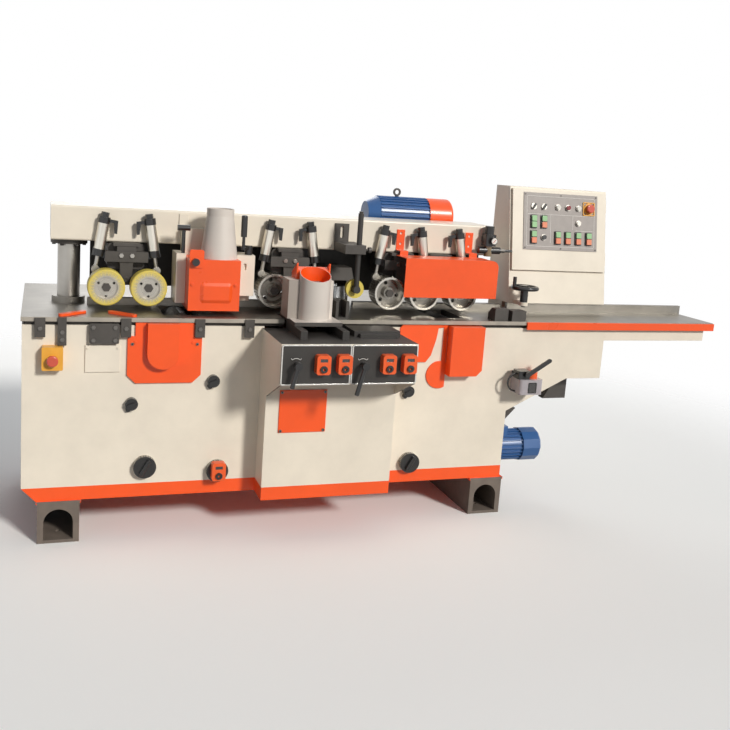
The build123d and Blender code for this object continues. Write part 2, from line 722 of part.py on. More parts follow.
def clamp_lever(lever_x, lever_z, length, lean):
    """Handle of a clamping screw: round hub on a short shank and a widening arm hanging down."""
    shank_front = COUNTER_BACK - 26
    with BuildPart() as lever:
        with BuildSketch(facing(COUNTER_BACK)):
            with Locations((lever_x, lever_z)):
                Circle(9)
        extrude(amount=26)
        with BuildSketch(facing(shank_front)):
            with Locations((lever_x, lever_z)):
                Circle(14)
        extrude(amount=18)
        hub = Plane(
            origin=(lever_x, shank_front - 8, lever_z),
            x_dir=(0, 1, 0),
            z_dir=(-sin(radians(lean)), 0, -cos(radians(lean))),
        )
        with BuildSketch(hub):
            Circle(7)
        with BuildSketch(hub.offset(length)):
            Circle(9)
        loft()
        fillet(lever.faces().sort_by(Axis.Z)[0].edges(), radius=4)
    return lever


# Two clamp levers on the console
for lever_name, lever_x, lever_z, lever_length in (
    ("clamp_lever_left", LEFT + 917, 742, 84),
    ("clamp_lever_right", LEFT + 1168, 740, 112),
):
    lever = clamp_lever(lever_x, lever_z, lever_length, 14)
    lever.part.label = lever_name
    export_step(lever.part, f"parts/{lever_name}.step")

# Setting knobs on the cabinet front: three small and three large, each on its own shank
SMALL_KNOBS = [(LEFT + 380, 527), (LEFT + 680, 610), (LEFT + 1482, 556)]
DISC_KNOBS = [(LEFT + 434, 282), (DISC_COUNTER_X, DISC_COUNTER_Z - 8), (LEFT + 1510, 250)]
with BuildPart() as setting_knobs:
    with BuildSketch(facing(FRONT)):
        with Locations(*SMALL_KNOBS):
            Circle(23)
    extrude(amount=22)
    with BuildSketch(facing(FRONT)):
        with Locations(*[(x - 12, z - 22) for x, z in SMALL_KNOBS]):
            Circle(9)
    extrude(amount=12)
    with BuildSketch(facing(FRONT)):
        with Locations(*DISC_KNOBS):
            Circle(42)
    extrude(amount=DISC_KNOB_DEPTH)
    grips = [(DISC_KNOBS[0]), (DISC_KNOBS[2])]
    with BuildSketch(facing(FRONT - DISC_KNOB_DEPTH)):
        with Locations(*grips):
            SlotOverall(66, 16, rotation=60)
    extrude(amount=12)
    with BuildSketch(facing(FRONT - 22)):
        with Locations(*SMALL_KNOBS):
            SlotOverall(34, 9, rotation=20)
    extrude(amount=7)
    chamfer(setting_knobs.edges().filter_by(GeomType.CIRCLE).group_by(Axis.Y)[0], length=1.5)
setting_knobs.part.label = "setting_knobs"
export_step(setting_knobs.part, "parts/setting_knobs.step")

# Emergency stop: yellow box at the outfeed end, mushroom button in a ring
STOP_X = LEFT + 102
STOP_Z = 705
STOP_DEPTH = 44
MUSHROOM_R = 20
with BuildPart() as estop_box:
    with BuildSketch(facing(FRONT)):
        with Locations((STOP_X, STOP_Z)):
            RectangleRounded(72, 84, 5)
    extrude(amount=STOP_DEPTH)
    with BuildSketch(facing(FRONT - STOP_DEPTH)):
        with Locations((STOP_X, STOP_Z - 4)):
            Circle(16)
    extrude(amount=6)
    with BuildSketch(facing(FRONT - STOP_DEPTH - 6)):
        with Locations((STOP_X, STOP_Z - 4)):
            Circle(8 + RUNNING_GAP)
    extrude(amount=-26, mode=Mode.SUBTRACT)
estop_box.part.label = "estop_box"
export_step(estop_box.part, "parts/estop_box.step")


STOP_PLANE = Plane(
    origin=(STOP_X, FRONT - STOP_DEPTH - 6, STOP_Z - 4), x_dir=(1, 0, 0), z_dir=(0, -1, 0)
)
with BuildPart() as estop_button_left:
    with BuildSketch(STOP_PLANE.offset(-14)):
        Circle(8)
    extrude(amount=22)
    with BuildSketch(STOP_PLANE.offset(8)):
        Circle(MUSHROOM_R)
    extrude(amount=12)
    fillet(estop_button_left.faces().sort_by(Axis.Y)[0].edges(), radius=5)
estop_button_left.part.label = "estop_button_left"
export_step(estop_button_left.part, "parts/estop_button_left.step")

# Beam: long box beam with rounded edges, two ways for the top head and, behind the feed works,
# two hanging dust sheets that leave room for the top spindle between them
APRON_SHEET = 3
APRON_BOTTOM = 900
APRON_TOP = BEAM_BOTTOM + 33
APRON_FOLD = 18
APRON_SPANS = [(BEAM_LEFT + 152, TOP_SPINDLE_X - 42), (TOP_SPINDLE_X + 42, BEAM_RIGHT - 12)]
WAY_HEIGHT = 106
WAY_Z = (BEAM_BOTTOM + BEAM_TOP) / 2
with BuildPart() as beam:
    with BuildSketch(side(BEAM_LEFT)):
        with Locations(((BEAM_FRONT + BEAM_BACK) / 2, (BEAM_BOTTOM + BEAM_TOP) / 2)):
            RectangleRounded(BEAM_DEPTH, BEAM_HEIGHT, BEAM_CORNER)
    extrude(amount=BEAM_LENGTH)
    with BuildSketch(facing(HEAD_PLATE_BACK + SEAT)):
        with Locations((LEFT + 585, WAY_Z), (LEFT + 755, WAY_Z)):
            Rectangle(36, WAY_HEIGHT)
    extrude(amount=-(BEAM_FRONT - HEAD_PLATE_BACK - SEAT))
    for start, end in APRON_SPANS:
        with BuildSketch(side(start)):
            with BuildLine():
                Polyline(
                    (BEAM_BACK, APRON_TOP),
                    (BEAM_BACK, APRON_BOTTOM),
                    (BEAM_BACK + APRON_FOLD, APRON_BOTTOM),
                    (BEAM_BACK + APRON_FOLD, APRON_BOTTOM + APRON_SHEET),
                    (BEAM_BACK + APRON_SHEET, APRON_BOTTOM + APRON_SHEET),
                    (BEAM_BACK + APRON_SHEET, APRON_TOP),
                    close=True,
                )
            make_face()
        extrude(amount=end - start)
beam.part.label = "beam"
export_step(beam.part, "parts/beam.step")

# Lift columns: ground posts with bolted flanges under the beam
with BuildPart() as lift_columns:
    for column_x in COLUMN_X:
        with BuildSketch(level(COLUMN_BOTTOM)):
            with Locations((column_x, COLUMN_Y)):
                Circle(COLUMN_R)
        extrude(amount=BEAM_BOTTOM - COLUMN_BOTTOM)
        with BuildSketch(level(BEAM_BOTTOM - COLUMN_FLANGE)):
            with Locations((column_x, COLUMN_Y)):
                Circle(COLUMN_FLANGE_R)
        extrude(amount=COLUMN_FLANGE)
        with BuildSketch(level(BEAM_BOTTOM - COLUMN_FLANGE - 8)):
            with Locations((column_x, COLUMN_Y)):
                with PolarLocations(COLUMN_FLANGE_R - 12, 6):
                    RegularPolygon(7, 6)
        extrude(amount=8)
lift_columns.part.label = "lift_columns"
export_step(lift_columns.part, "parts/lift_columns.step")

# Feed brackets: one casting for each wheel pair, with drive hub, cross bar and gear housing
BAR_HALF = 80
BAR_Z = 1045
HUB_Z = 957
GEAR_HALF = 70
FOOT_PLATE = 12
WEB_DEPTH = 34
with BuildPart() as feed_brackets:
    for centre_x, bar_start in (
        (PAIR_X[0], -BAR_HALF),
        (PAIR_X[1], -BAR_HALF),
        (PAIR_X[2], -BAR_HALF),
        (PAIR_X[3], -36),
    ):
        # Foot plate under the beam
        with BuildSketch(level(BEAM_BOTTOM - FOOT_PLATE)):
            with Locations((centre_x, (STRUT_Y + BEAM_FRONT + 90) / 2)):
                Rectangle(100, BEAM_FRONT + 90 - STRUT_Y)
        extrude(amount=FOOT_PLATE)
        # Cross bar and web
        with BuildSketch(facing(STRUT_Y - 4)):
            with Locations((centre_x + (bar_start + BAR_HALF) / 2, BAR_Z)):
                Rectangle(BAR_HALF - bar_start, 40)
        extrude(amount=-32)
        with BuildSketch(facing(STRUT_Y + 2)):
            with Locations((centre_x, (BEAM_BOTTOM - FOOT_PLATE + BAR_Z) / 2)):
                Rectangle(72, BEAM_BOTTOM - FOOT_PLATE - BAR_Z)
            with BuildLine():
                Polyline(
                    (centre_x - 27, BAR_Z),
                    (centre_x - 20, HUB_Z),
                    (centre_x + 20, HUB_Z),
                    (centre_x + 27, BAR_Z),
                    close=True,
                )
            make_face()
            with Locations((centre_x, HUB_Z)):
                Circle(20)
        extrude(amount=-WEB_DEPTH)
        # Drive hub ring and the two bolts
        with BuildSketch(facing(STRUT_Y - 2)):
            with Locations((centre_x, HUB_Z)):
                Circle(11)
                Circle(5, mode=Mode.SUBTRACT)
        extrude(amount=-4)
        with BuildSketch(facing(STRUT_Y - 10)):
            with Locations((centre_x - 20, BAR_Z + 5), (centre_x + 20, BAR_Z + 5)):
                RegularPolygon(9, 6)
        extrude(amount=-6)
        # Gear housing behind
        with BuildSketch(facing(STRUT_Y + 2 + WEB_DEPTH)):
            with Locations((centre_x, BAR_Z - 1)):
                RectangleRounded(2 * GEAR_HALF, 100, 18)
        extrude(amount=-170)
feed_brackets.part.label = "feed_brackets"
export_step(feed_brackets.part, "parts/feed_brackets.step")


def cylinder_axis(pair, hand):
    """Plane at the foot of a cylinder's rod; its normal runs up along the leaning cylinder."""
    lean = radians(CYLINDER_TILT)
    return Plane(
        origin=(PAIR_X[pair] + hand * ROD_FOOT_OFFSET, CYLINDER_Y, ROD_FOOT_Z),
        x_dir=(cos(lean), 0, hand * sin(lean)),
        z_dir=(-hand * sin(lean), 0, cos(lean)),
    )


# Air cylinders: aluminium tube between black caps, with a small lever at the inner side
TUBE_START = LOWER_CAP_START + LOWER_CAP
UPPER_CAP_START = TUBE_START + TUBE_LENGTH
with BuildPart() as air_cylinders:
    for pair, hand in UNIT_PLACES:
        axis = cylinder_axis(pair, hand)
        # Lower cap with the rod bore
        with BuildSketch(axis.offset(LOWER_CAP_START)):
            Circle(TUBE_R + 1)
            Circle(ROD_R + RUNNING_GAP, mode=Mode.SUBTRACT)
        extrude(amount=LOWER_CAP)
        # Lug from the lower cap to the cross bar
        lug_inner = PAIR_X[pair] + hand * BAR_HALF
        with BuildSketch(facing(CYLINDER_Y - 8)):
            with Locations((lug_inner + hand * 5, 1050)):
                Rectangle(10, 22)
        extrude(amount=-16)
        # Upper cap, knob and lever
        with BuildSketch(axis.offset(UPPER_CAP_START)):
            Circle(TUBE_R + 1)
        extrude(amount=UPPER_CAP)
        with BuildSketch(axis.offset(UPPER_CAP_START + UPPER_CAP)):
            RegularPolygon(15, 8)
        extrude(amount=KNOB_HEIGHT)
        with BuildSketch(axis.offset(UPPER_CAP_START + 6)):
            with Locations((-hand * 32, 0)):
                Rectangle(26, 12)
        extrude(amount=12)
        with BuildSketch(axis.offset(UPPER_CAP_START + 14 - LEVER_LENGTH)):
            with Locations((-hand * 50, 0)):
                Rectangle(10, 12)
        with BuildSketch(axis.offset(UPPER_CAP_START + 18)):
            with Locations((-hand * 42, 0)):
                Rectangle(16, 16)
        loft()
    for pair, hand in UNIT_PLACES:
        axis = cylinder_axis(pair, hand)
        with BuildSketch(axis.offset(TUBE_START)):
            Circle(TUBE_R)
            Circle(TUBE_BORE, mode=Mode.SUBTRACT)
        extrude(amount=TUBE_LENGTH)
air_cylinders.part.label = "air_cylinders"
export_step(air_cylinders.part, "parts/air_cylinders.step")


def feed_carrier(pair, hand, width):
    """Piston rod, strut and axle of one feed wheel, made as one moving piece."""
    axis = cylinder_axis(pair, hand)
    wheel_x = PAIR_X[pair] + hand * WHEEL_OFFSET
    foot_x = PAIR_X[pair] + hand * ROD_FOOT_OFFSET
    with BuildPart() as carrier:
        with BuildSketch(facing(STRUT_Y)):
            with Locations((wheel_x, WHEEL_AXIS_Z)):
                Circle(26)
            with Locations((foot_x, ROD_FOOT_Z)):
                Circle(15)
            make_hull()
        extrude(amount=-STRUT_THICKNESS)
        with BuildSketch(axis):
            Circle(ROD_R)
        extrude(amount=TUBE_START + 30)
        with BuildSketch(axis.offset(TUBE_START + 22)):
            Circle(TUBE_BORE - RUNNING_GAP)
        extrude(amount=PISTON_THICKNESS)
        with BuildSketch(facing(WHEEL_FRONT + 12)):
            with Locations((wheel_x, WHEEL_AXIS_Z)):
                Circle(AXLE_R)
        extrude(amount=-(STRUT_Y - WHEEL_FRONT - 12))
        with BuildSketch(facing(WHEEL_FRONT + 4)):
            with Locations((wheel_x, WHEEL_AXIS_Z)):
                RegularPolygon(17, 6)
        extrude(amount=-8)
        with BuildSketch(facing(WHEEL_FRONT + width + SEAT)):
            with Locations((wheel_x, WHEEL_AXIS_Z)):
                Circle(19)
        extrude(amount=-(STRUT_Y - WHEEL_FRONT - width - SEAT))
    return carrier


def soft_wheel(pair, hand):
    """Feed wheel with a moulded tyre on a dished steel hub: two solids."""
    wheel_x = PAIR_X[pair] + hand * WHEEL_OFFSET
    face = facing(WHEEL_FRONT)
    hub_front = facing(WHEEL_FRONT + 12 + SEAT)
    with BuildPart() as wheel:
        with BuildSketch(face):
            with Locations((wheel_x, WHEEL_AXIS_Z)):
                Circle(WHEEL_R - TYRE_THICKNESS)
        extrude(amount=-WHEEL_WIDTH)
        with BuildSketch(face):
            with Locations((wheel_x, WHEEL_AXIS_Z)):
                Circle(WHEEL_R - TYRE_THICKNESS - 8)
        extrude(amount=-12 - SEAT, mode=Mode.SUBTRACT)
        with BuildSketch(hub_front):
            with Locations((wheel_x, WHEEL_AXIS_Z)):
                with PolarLocations(32, 3, start_angle=30):
                    Circle(5)
        extrude(amount=-WHEEL_WIDTH, mode=Mode.SUBTRACT)
        with BuildSketch(face):
            with Locations((wheel_x, WHEEL_AXIS_Z)):
                Circle(AXLE_R + RUNNING_GAP)
        extrude(amount=-WHEEL_WIDTH, mode=Mode.SUBTRACT)
    return wheel


def wheel_tyre(pair, hand):
    """Ring of the soft wheel, chamfered at both rims."""
    wheel_x = PAIR_X[pair] + hand * WHEEL_OFFSET
    with BuildPart() as tyre:
        with BuildSketch(facing(WHEEL_FRONT)):
            with Locations((wheel_x, WHEEL_AXIS_Z)):
                Circle(WHEEL_R)
                Circle(WHEEL_R - TYRE_THICKNESS, mode=Mode.SUBTRACT)
        extrude(amount=-WHEEL_WIDTH)
        rims = tyre.edges().filter_by(GeomType.CIRCLE).group_by(SortBy.RADIUS)[-1]
        chamfer(rims, length=3)
    return tyre


def steel_wheel(pair, hand):
    """Serrated steel feed wheel with a deep dished front and three holes in its web."""
    wheel_x = PAIR_X[pair] + hand * WHEEL_OFFSET
    face = facing(WHEEL_FRONT)
    with BuildPart() as wheel:
        with BuildSketch(face):
            with Locations((wheel_x, WHEEL_AXIS_Z)):
                Circle(WHEEL_R)
                with PolarLocations(WHEEL_R, SERRATIONS):
                    Rectangle(3, 3, rotation=45, mode=Mode.SUBTRACT)
        extrude(amount=-STEEL_WHEEL_WIDTH)
        with BuildSketch(face):
            with Locations((wheel_x, WHEEL_AXIS_Z)):
                Circle(WHEEL_R - 9)
        extrude(amount=-34, mode=Mode.SUBTRACT)
        with BuildSketch(facing(WHEEL_FRONT + 12 + SEAT)):
            with Locations((wheel_x, WHEEL_AXIS_Z)):
                Circle(24)
        extrude(amount=-(34 - 12 - SEAT))
        with BuildSketch(face):
            with Locations((wheel_x, WHEEL_AXIS_Z)):
                with PolarLocations(42, 3, start_angle=105):
                    Circle(8)
                Circle(AXLE_R + RUNNING_GAP)
        extrude(amount=-STEEL_WHEEL_WIDTH, mode=Mode.SUBTRACT)
    return wheel


# Seven feed wheels and carriers; the first two at the outfeed end have soft tyres
for number, (pair, hand) in enumerate(UNIT_PLACES, start=1):
    is_soft = number <= SOFT_WHEELS
    carrier = feed_carrier(pair, hand, WHEEL_WIDTH if is_soft else STEEL_WHEEL_WIDTH)
    carrier.part.label = f"feed_carrier_{number}"
    export_step(carrier.part, f"parts/feed_carrier_{number}.step")
    if is_soft:
        hub = soft_wheel(pair, hand)
        tyre = wheel_tyre(pair, hand)
        with BuildPart() as wheel:
            add(Compound(children=[hub.part.solid(), tyre.part.solid()]))
    else:
        wheel = steel_wheel(pair, hand)
    wheel.part.label = f"feed_wheel_{number}"
    export_step(wheel.part, f"parts/feed_wheel_{number}.step")

# Top motor: finned motor with a fan cowl, on a shelf behind the beam
with BuildPart() as top_motor:
    motor_end = TOP_MOTOR_X + TOP_MOTOR_BODY
    with BuildSketch(side(TOP_MOTOR_X + 54)):
        with Locations((TOP_MOTOR_Y, TOP_MOTOR_Z)):
            Circle(TOP_MOTOR_R - 8)
            with PolarLocations(TOP_MOTOR_R - 6, 28):
                Rectangle(12, 4)
    extrude(amount=TOP_MOTOR_BODY - 54)
    with BuildSketch(side(TOP_MOTOR_X + 54)):
        with Locations((TOP_MOTOR_Y, TOP_MOTOR_Z)):
            Circle(TOP_MOTOR_R - 4)
    with BuildSketch(side(TOP_MOTOR_X)):
        with Locations((TOP_MOTOR_Y, TOP_MOTOR_Z)):
            Circle(TOP_MOTOR_R - 28)
    loft()
    with BuildSketch(side(motor_end)):
        with Locations((TOP_MOTOR_Y, TOP_MOTOR_Z)):
            Circle(TOP_MOTOR_R)
    extrude(amount=TOP_MOTOR_COWL)
    fillet(top_motor.faces().sort_by(Axis.X)[-1].edges(), radius=14)
    with BuildSketch(side(motor_end + TOP_MOTOR_COWL)):
        with Locations((TOP_MOTOR_Y, TOP_MOTOR_Z)):
            with PolarLocations(34, 10):
                SlotOverall(40, 7)
    extrude(amount=-5, mode=Mode.SUBTRACT)
    # Shelf, upright plate on the beam, foot and eye bolt
    with BuildSketch(side(TOP_MOTOR_X + 60)):
        with Locations(((BEAM_BACK + TOP_MOTOR_Y + 60) / 2, TOP_MOTOR_Z - TOP_MOTOR_R - 10)):
            Rectangle(TOP_MOTOR_Y + 60 - BEAM_BACK, 12)
        with Locations((BEAM_BACK + 5, TOP_MOTOR_Z - TOP_MOTOR_R + 18)):
            Rectangle(10, 62)
        with Locations((TOP_MOTOR_Y, TOP_MOTOR_Z - TOP_MOTOR_R + 2)):
            Rectangle(96, 22)
    extrude(amount=200)
    with BuildSketch(level(TOP_MOTOR_Z + TOP_MOTOR_R - 8)):
        with Locations((TOP_MOTOR_X + 150, TOP_MOTOR_Y)):
            Circle(9)
    extrude(amount=14)
    with BuildSketch(facing(TOP_MOTOR_Y - 4)):
        with Locations((TOP_MOTOR_X + 150, TOP_MOTOR_Z + TOP_MOTOR_R + 20)):
            Circle(18)
            Circle(10, mode=Mode.SUBTRACT)
    extrude(amount=-8)
top_motor.part.label = "top_motor"
export_step(top_motor.part, "parts/top_motor.step")

# Lower motor: flanged on the cabinet's right wall, with its terminal box and squared fan cowl
with BuildPart() as lower_motor:
    with BuildSketch(side(RIGHT)):
        with Locations((LOWER_MOTOR_Y, LOWER_MOTOR_Z)):
            RegularPolygon(LOWER_MOTOR_R, 8, rotation=22.5)
    extrude(amount=14)
    with BuildSketch(side(RIGHT + 14)):
        with Locations((LOWER_MOTOR_Y, LOWER_MOTOR_Z)):
            Circle(LOWER_MOTOR_R - 14)
            with PolarLocations(LOWER_MOTOR_R - 12, 24):
                Rectangle(14, 3.5)
    extrude(amount=LOWER_MOTOR_BODY - 14)
    with BuildSketch(side(RIGHT + LOWER_MOTOR_BODY)):
        with Locations((LOWER_MOTOR_Y, LOWER_MOTOR_Z)):
            RegularPolygon(LOWER_MOTOR_R, 12)
    extrude(amount=LOWER_MOTOR_COWL)
    chamfer(lower_motor.faces().sort_by(Axis.X)[-1].edges(), length=10)
    with BuildSketch(side(RIGHT + LOWER_MOTOR_BODY + LOWER_MOTOR_COWL)):
        with Locations((LOWER_MOTOR_Y, LOWER_MOTOR_Z)):
            with PolarLocations(32, 8):
                SlotOverall(36, 7)
    extrude(amount=-5, mode=Mode.SUBTRACT)
    with BuildSketch(level(LOWER_MOTOR_Z)):
        with Locations((RIGHT + 66, LOWER_MOTOR_Y)):
            Rectangle(84, 92)
    extrude(amount=LOWER_MOTOR_R + 22)
lower_motor.part.label = "lower_motor"
export_step(lower_motor.part, "parts/lower_motor.step")

# Wheel guard: bent sheet with a rounded upper corner, open at the left, bottom and back, on straps
GUARD_RIGHT = GUARD_LEFT + GUARD_LENGTH
GUARD_BACK = FRONT + 198
GUARD_CORNER = 30
STRAP_SHELF = BEAM_BOTTOM + 10


def guard_outline(inset, left, bottom):
    """Front outline of the guard; the upper right corner is rounded."""
    corner = GUARD_CORNER - inset
    top = GUARD_TOP - inset
    right = GUARD_RIGHT - inset
    bend = corner * (1 - sin(radians(45)))
    line = [(right, top - corner), (right, bottom), (left, bottom), (left, top), (right - corner, top)]
    arc = [(right - corner, top), (right - bend, top - bend), (right, top - corner)]
    return line, arc


with BuildPart() as wheel_guard:
    for inset, left, bottom, mode in (
        (0, GUARD_LEFT, GUARD_TOP - GUARD_HEIGHT, Mode.ADD),
        (GUARD_SHEET, GUARD_LEFT - 1, GUARD_TOP - GUARD_HEIGHT - 1, Mode.SUBTRACT),
    ):
        line, arc = guard_outline(inset, left, bottom)
        with BuildSketch(facing(GUARD_FRONT + inset)):
            with BuildLine():
                Polyline(*line)
                ThreePointArc(*arc)
            make_face()
        extrude(amount=-(GUARD_BACK - GUARD_FRONT), mode=mode)
    for strap_x in STRAP_X:
        with BuildSketch(side(strap_x - STRAP_WIDTH / 2)):
            with BuildLine():
                Polyline(
                    (GUARD_BACK - 3, GUARD_TOP - 2),
                    (GUARD_BACK, GUARD_TOP - 2),
                    (GUARD_BACK, STRAP_SHELF),
                    (BEAM_FRONT, STRAP_SHELF),
                    (BEAM_FRONT, STRAP_TOP),
                    (BEAM_FRONT - 3, STRAP_TOP),
                    (BEAM_FRONT - 3, STRAP_SHELF + 3),
                    (GUARD_BACK - 3, STRAP_SHELF + 3),
                    close=True,
                )
            make_face()
        extrude(amount=STRAP_WIDTH)
        with BuildSketch(facing(BEAM_FRONT - 3)):
            with Locations((strap_x, STRAP_TOP - 16), (strap_x, STRAP_TOP - 60)):
                Circle(5)
        extrude(amount=-3, mode=Mode.SUBTRACT)
wheel_guard.part.label = "wheel_guard"
export_step(wheel_guard.part, "parts/wheel_guard.step")

# Air regulator on the beam's right end: body, knob, gauge, bowl and fittings
AIR_X = LEFT + 1903
AIR_Y = BEAM_FRONT - 32
with BuildPart() as air_regulator:
    with BuildSketch(level(1144)):
        with Locations((AIR_X, AIR_Y)):
            RectangleRounded(50, 50, 8)
    extrude(amount=50)
    with BuildSketch(level(1160)):
        with Locations((AIR_X - 6, BEAM_FRONT - 8)):
            Rectangle(30, 16)
    extrude(amount=22)
    with BuildSketch(level(1194)):
        with Locations((AIR_X, AIR_Y)):
            Circle(20)
    extrude(amount=36)
    with BuildSketch(level(1098)):
        with Locations((AIR_X, AIR_Y)):
            Circle(17)
    extrude(amount=46)
    with BuildSketch(facing(AIR_Y - 25)):
        with Locations((AIR_X + 8, 1168)):
            Circle(16)
    extrude(amount=14)
    with BuildSketch(side(AIR_X - 48)):
        with Locations((AIR_Y, 1124)):
            Circle(15)
    extrude(amount=104)
    with BuildSketch(side(AIR_X + 56)):
        with Locations((AIR_Y, 1124)):
            RegularPolygon(10, 6)
    extrude(amount=24)
    with BuildSketch(side(AIR_X + 80)):
        with Locations((AIR_Y, 1124)):
            Circle(6)
    extrude(amount=38)
air_regulator.part.label = "air_regulator"
export_step(air_regulator.part, "parts/air_regulator.step")

# Press bracket: clamp block with its bore and a slotted plate on the beam
with BuildPart() as press_bracket:
    with BuildSketch(level(CLAMP_BOTTOM + 5)):
        with Locations((PRESS_X + (CLAMP_RIGHT - CLAMP_LEFT) / 2, (PRESS_Y - 20 + BEAM_FRONT) / 2)):
            Rectangle(CLAMP_LEFT + CLAMP_RIGHT, BEAM_FRONT - PRESS_Y + 20)
    extrude(amount=CLAMP_HEIGHT - 5)
    with BuildSketch(facing(BEAM_FRONT - 8)):
        with Locations((PRESS_X - 33, 1162)):
            Rectangle(60, 94)
        with Locations((PRESS_X - 33, 1174)):
            SlotOverall(50, 14, rotation=90, mode=Mode.SUBTRACT)
    extrude(amount=-8)
    with BuildSketch(level(CLAMP_BOTTOM)):
        with Locations((PRESS_X, PRESS_Y)):
            Circle(PRESS_BAR_R + RUNNING_GAP)
    extrude(amount=60, mode=Mode.SUBTRACT)
    with BuildSketch(side(PRESS_X + CLAMP_RIGHT)):
        with Locations((PRESS_Y, CLAMP_BOTTOM + 22)):
            Circle(5)
    extrude(amount=16)
    with BuildSketch(side(PRESS_X + CLAMP_RIGHT + 16)):
        with Locations((PRESS_Y, CLAMP_BOTTOM + 22)):
            Circle(12)
    extrude(amount=12)
press_bracket.part.label = "press_bracket"
export_step(press_bracket.part, "parts/press_bracket.step")

# Press bar: round bar in front of its wheel, with a boss and a cross axle at its foot
PRESS_WHEEL_START = PRESS_Y + PRESS_BAR_R + 3
PRESS_WHEEL_END = PRESS_WHEEL_START + PRESS_WHEEL_WIDTH
with BuildPart() as press_bar:
    with BuildSketch(level(PRESS_AXIS_Z)):
        with Locations((PRESS_X, PRESS_Y)):
            Circle(PRESS_BAR_R)
    extrude(amount=PRESS_BAR_TOP - PRESS_AXIS_Z)
    with BuildSketch(facing(PRESS_Y - PRESS_BAR_R - 1)):
        with Locations((PRESS_X, PRESS_AXIS_Z)):
            Circle(15)
    extrude(amount=-(PRESS_WHEEL_START - SEAT - PRESS_Y + PRESS_BAR_R + 1))
    with BuildSketch(facing(PRESS_Y)):
        with Locations((PRESS_X, PRESS_AXIS_Z)):
            Circle(7)
    extrude(amount=-(PRESS_WHEEL_END + SEAT - PRESS_Y))
    with BuildSketch(facing(PRESS_WHEEL_END + SEAT)):
        with Locations((PRESS_X, PRESS_AXIS_Z)):
            RegularPolygon(11, 6)
    extrude(amount=-7)
    with BuildSketch(level(PRESS_BAR_TOP)):
        with Locations((PRESS_X, PRESS_Y)):
            Circle(PRESS_BAR_R - 3)
    extrude(amount=8)
press_bar.part.label = "press_bar"
export_step(press_bar.part, "parts/press_bar.step")

# Press wheel: disc with a raised tyre and a stepped hub
with BuildPart() as press_wheel:
    with BuildSketch(facing(PRESS_WHEEL_START)):
        with Locations((PRESS_X, PRESS_AXIS_Z)):
            Circle(PRESS_WHEEL_R)
    extrude(amount=-PRESS_WHEEL_WIDTH)
    with BuildSketch(facing(PRESS_WHEEL_START)):
        with Locations((PRESS_X, PRESS_AXIS_Z)):
            Circle(PRESS_WHEEL_R - 16)
            Circle(16, mode=Mode.SUBTRACT)
    extrude(amount=-5, mode=Mode.SUBTRACT)
    with BuildSketch(facing(PRESS_WHEEL_START)):
        with Locations((PRESS_X, PRESS_AXIS_Z)):
            Circle(7 + RUNNING_GAP)
    extrude(amount=-PRESS_WHEEL_WIDTH, mode=Mode.SUBTRACT)
press_wheel.part.label = "press_wheel"
export_step(press_wheel.part, "parts/press_wheel.step")

# Top head: slide plate, spindle housing, two shoulder blocks and the locking T-knob
HEAD_RIGHT = HEAD_LEFT + HEAD_LENGTH
CHIP_BOX_RIGHT = CHIP_BOX_LEFT + CHIP_BOX_LENGTH
with BuildPart() as top_head:
    with BuildSketch(facing(HEAD_BLOCK_FRONT)):
        with Locations(((HEAD_LEFT + HEAD_RIGHT) / 2, (HEAD_BOTTOM + HEAD_TOP) / 2)):
            Rectangle(HEAD_LENGTH, HEAD_TOP - HEAD_BOTTOM)
        with Locations((LEFT + 675, HEAD_TOP + 45)):
            Rectangle(200, 90)
    extrude(amount=-(HEAD_PLATE_BACK - HEAD_BLOCK_FRONT))
    with BuildSketch(facing(HEAD_PLATE_BACK)):
        with Locations((TOP_SPINDLE_X, TOP_AXIS_Z)):
            Circle(HOUSING_R)
    extrude(amount=-(HEAD_BACK - HEAD_PLATE_BACK))
    with BuildSketch(facing(HEAD_FRONT)):
        with Locations(((HEAD_LEFT + CHIP_BOX_LEFT) / 2, (HEAD_BOTTOM + HEAD_TOP) / 2)):
            Rectangle(CHIP_BOX_LEFT - HEAD_LEFT - 1, HEAD_TOP - HEAD_BOTTOM)
        with Locations(((CHIP_BOX_RIGHT + HEAD_RIGHT) / 2, (916 + HEAD_TOP) / 2)):
            Rectangle(HEAD_RIGHT - CHIP_BOX_RIGHT - 1, HEAD_TOP - 916)
    extrude(amount=-(HEAD_BLOCK_FRONT - HEAD_FRONT))
    with BuildSketch(facing(HEAD_FRONT)):
        with Locations((CHIP_BOX_RIGHT + 34, 1030)):
            SlotOverall(26, 10, rotation=90)
    extrude(amount=-10, mode=Mode.SUBTRACT)
    with BuildSketch(level(HEAD_TOP)):
        with Locations((LOCK_X, FRONT + 150)):
            Circle(7)
    extrude(amount=96)
    with BuildSketch(side(LOCK_X - 24)):
        with Locations((FRONT + 150, HEAD_TOP + 96)):
            Circle(11)
    extrude(amount=48)
    with BuildSketch(level(HEAD_TOP - 60)):
        with Locations((CRANK_X, CRANK_Y)):
            Circle(8 + RUNNING_GAP)
    extrude(amount=60, mode=Mode.SUBTRACT)
    with BuildSketch(facing(HEAD_BLOCK_FRONT)):
        with Locations((TOP_SPINDLE_X, TOP_AXIS_Z)):
            Circle(SHAFT_R + RUNNING_GAP)
    extrude(amount=-(HEAD_BACK - HEAD_BLOCK_FRONT), mode=Mode.SUBTRACT)
top_head.part.label = "top_head"
export_step(top_head.part, "parts/top_head.step")

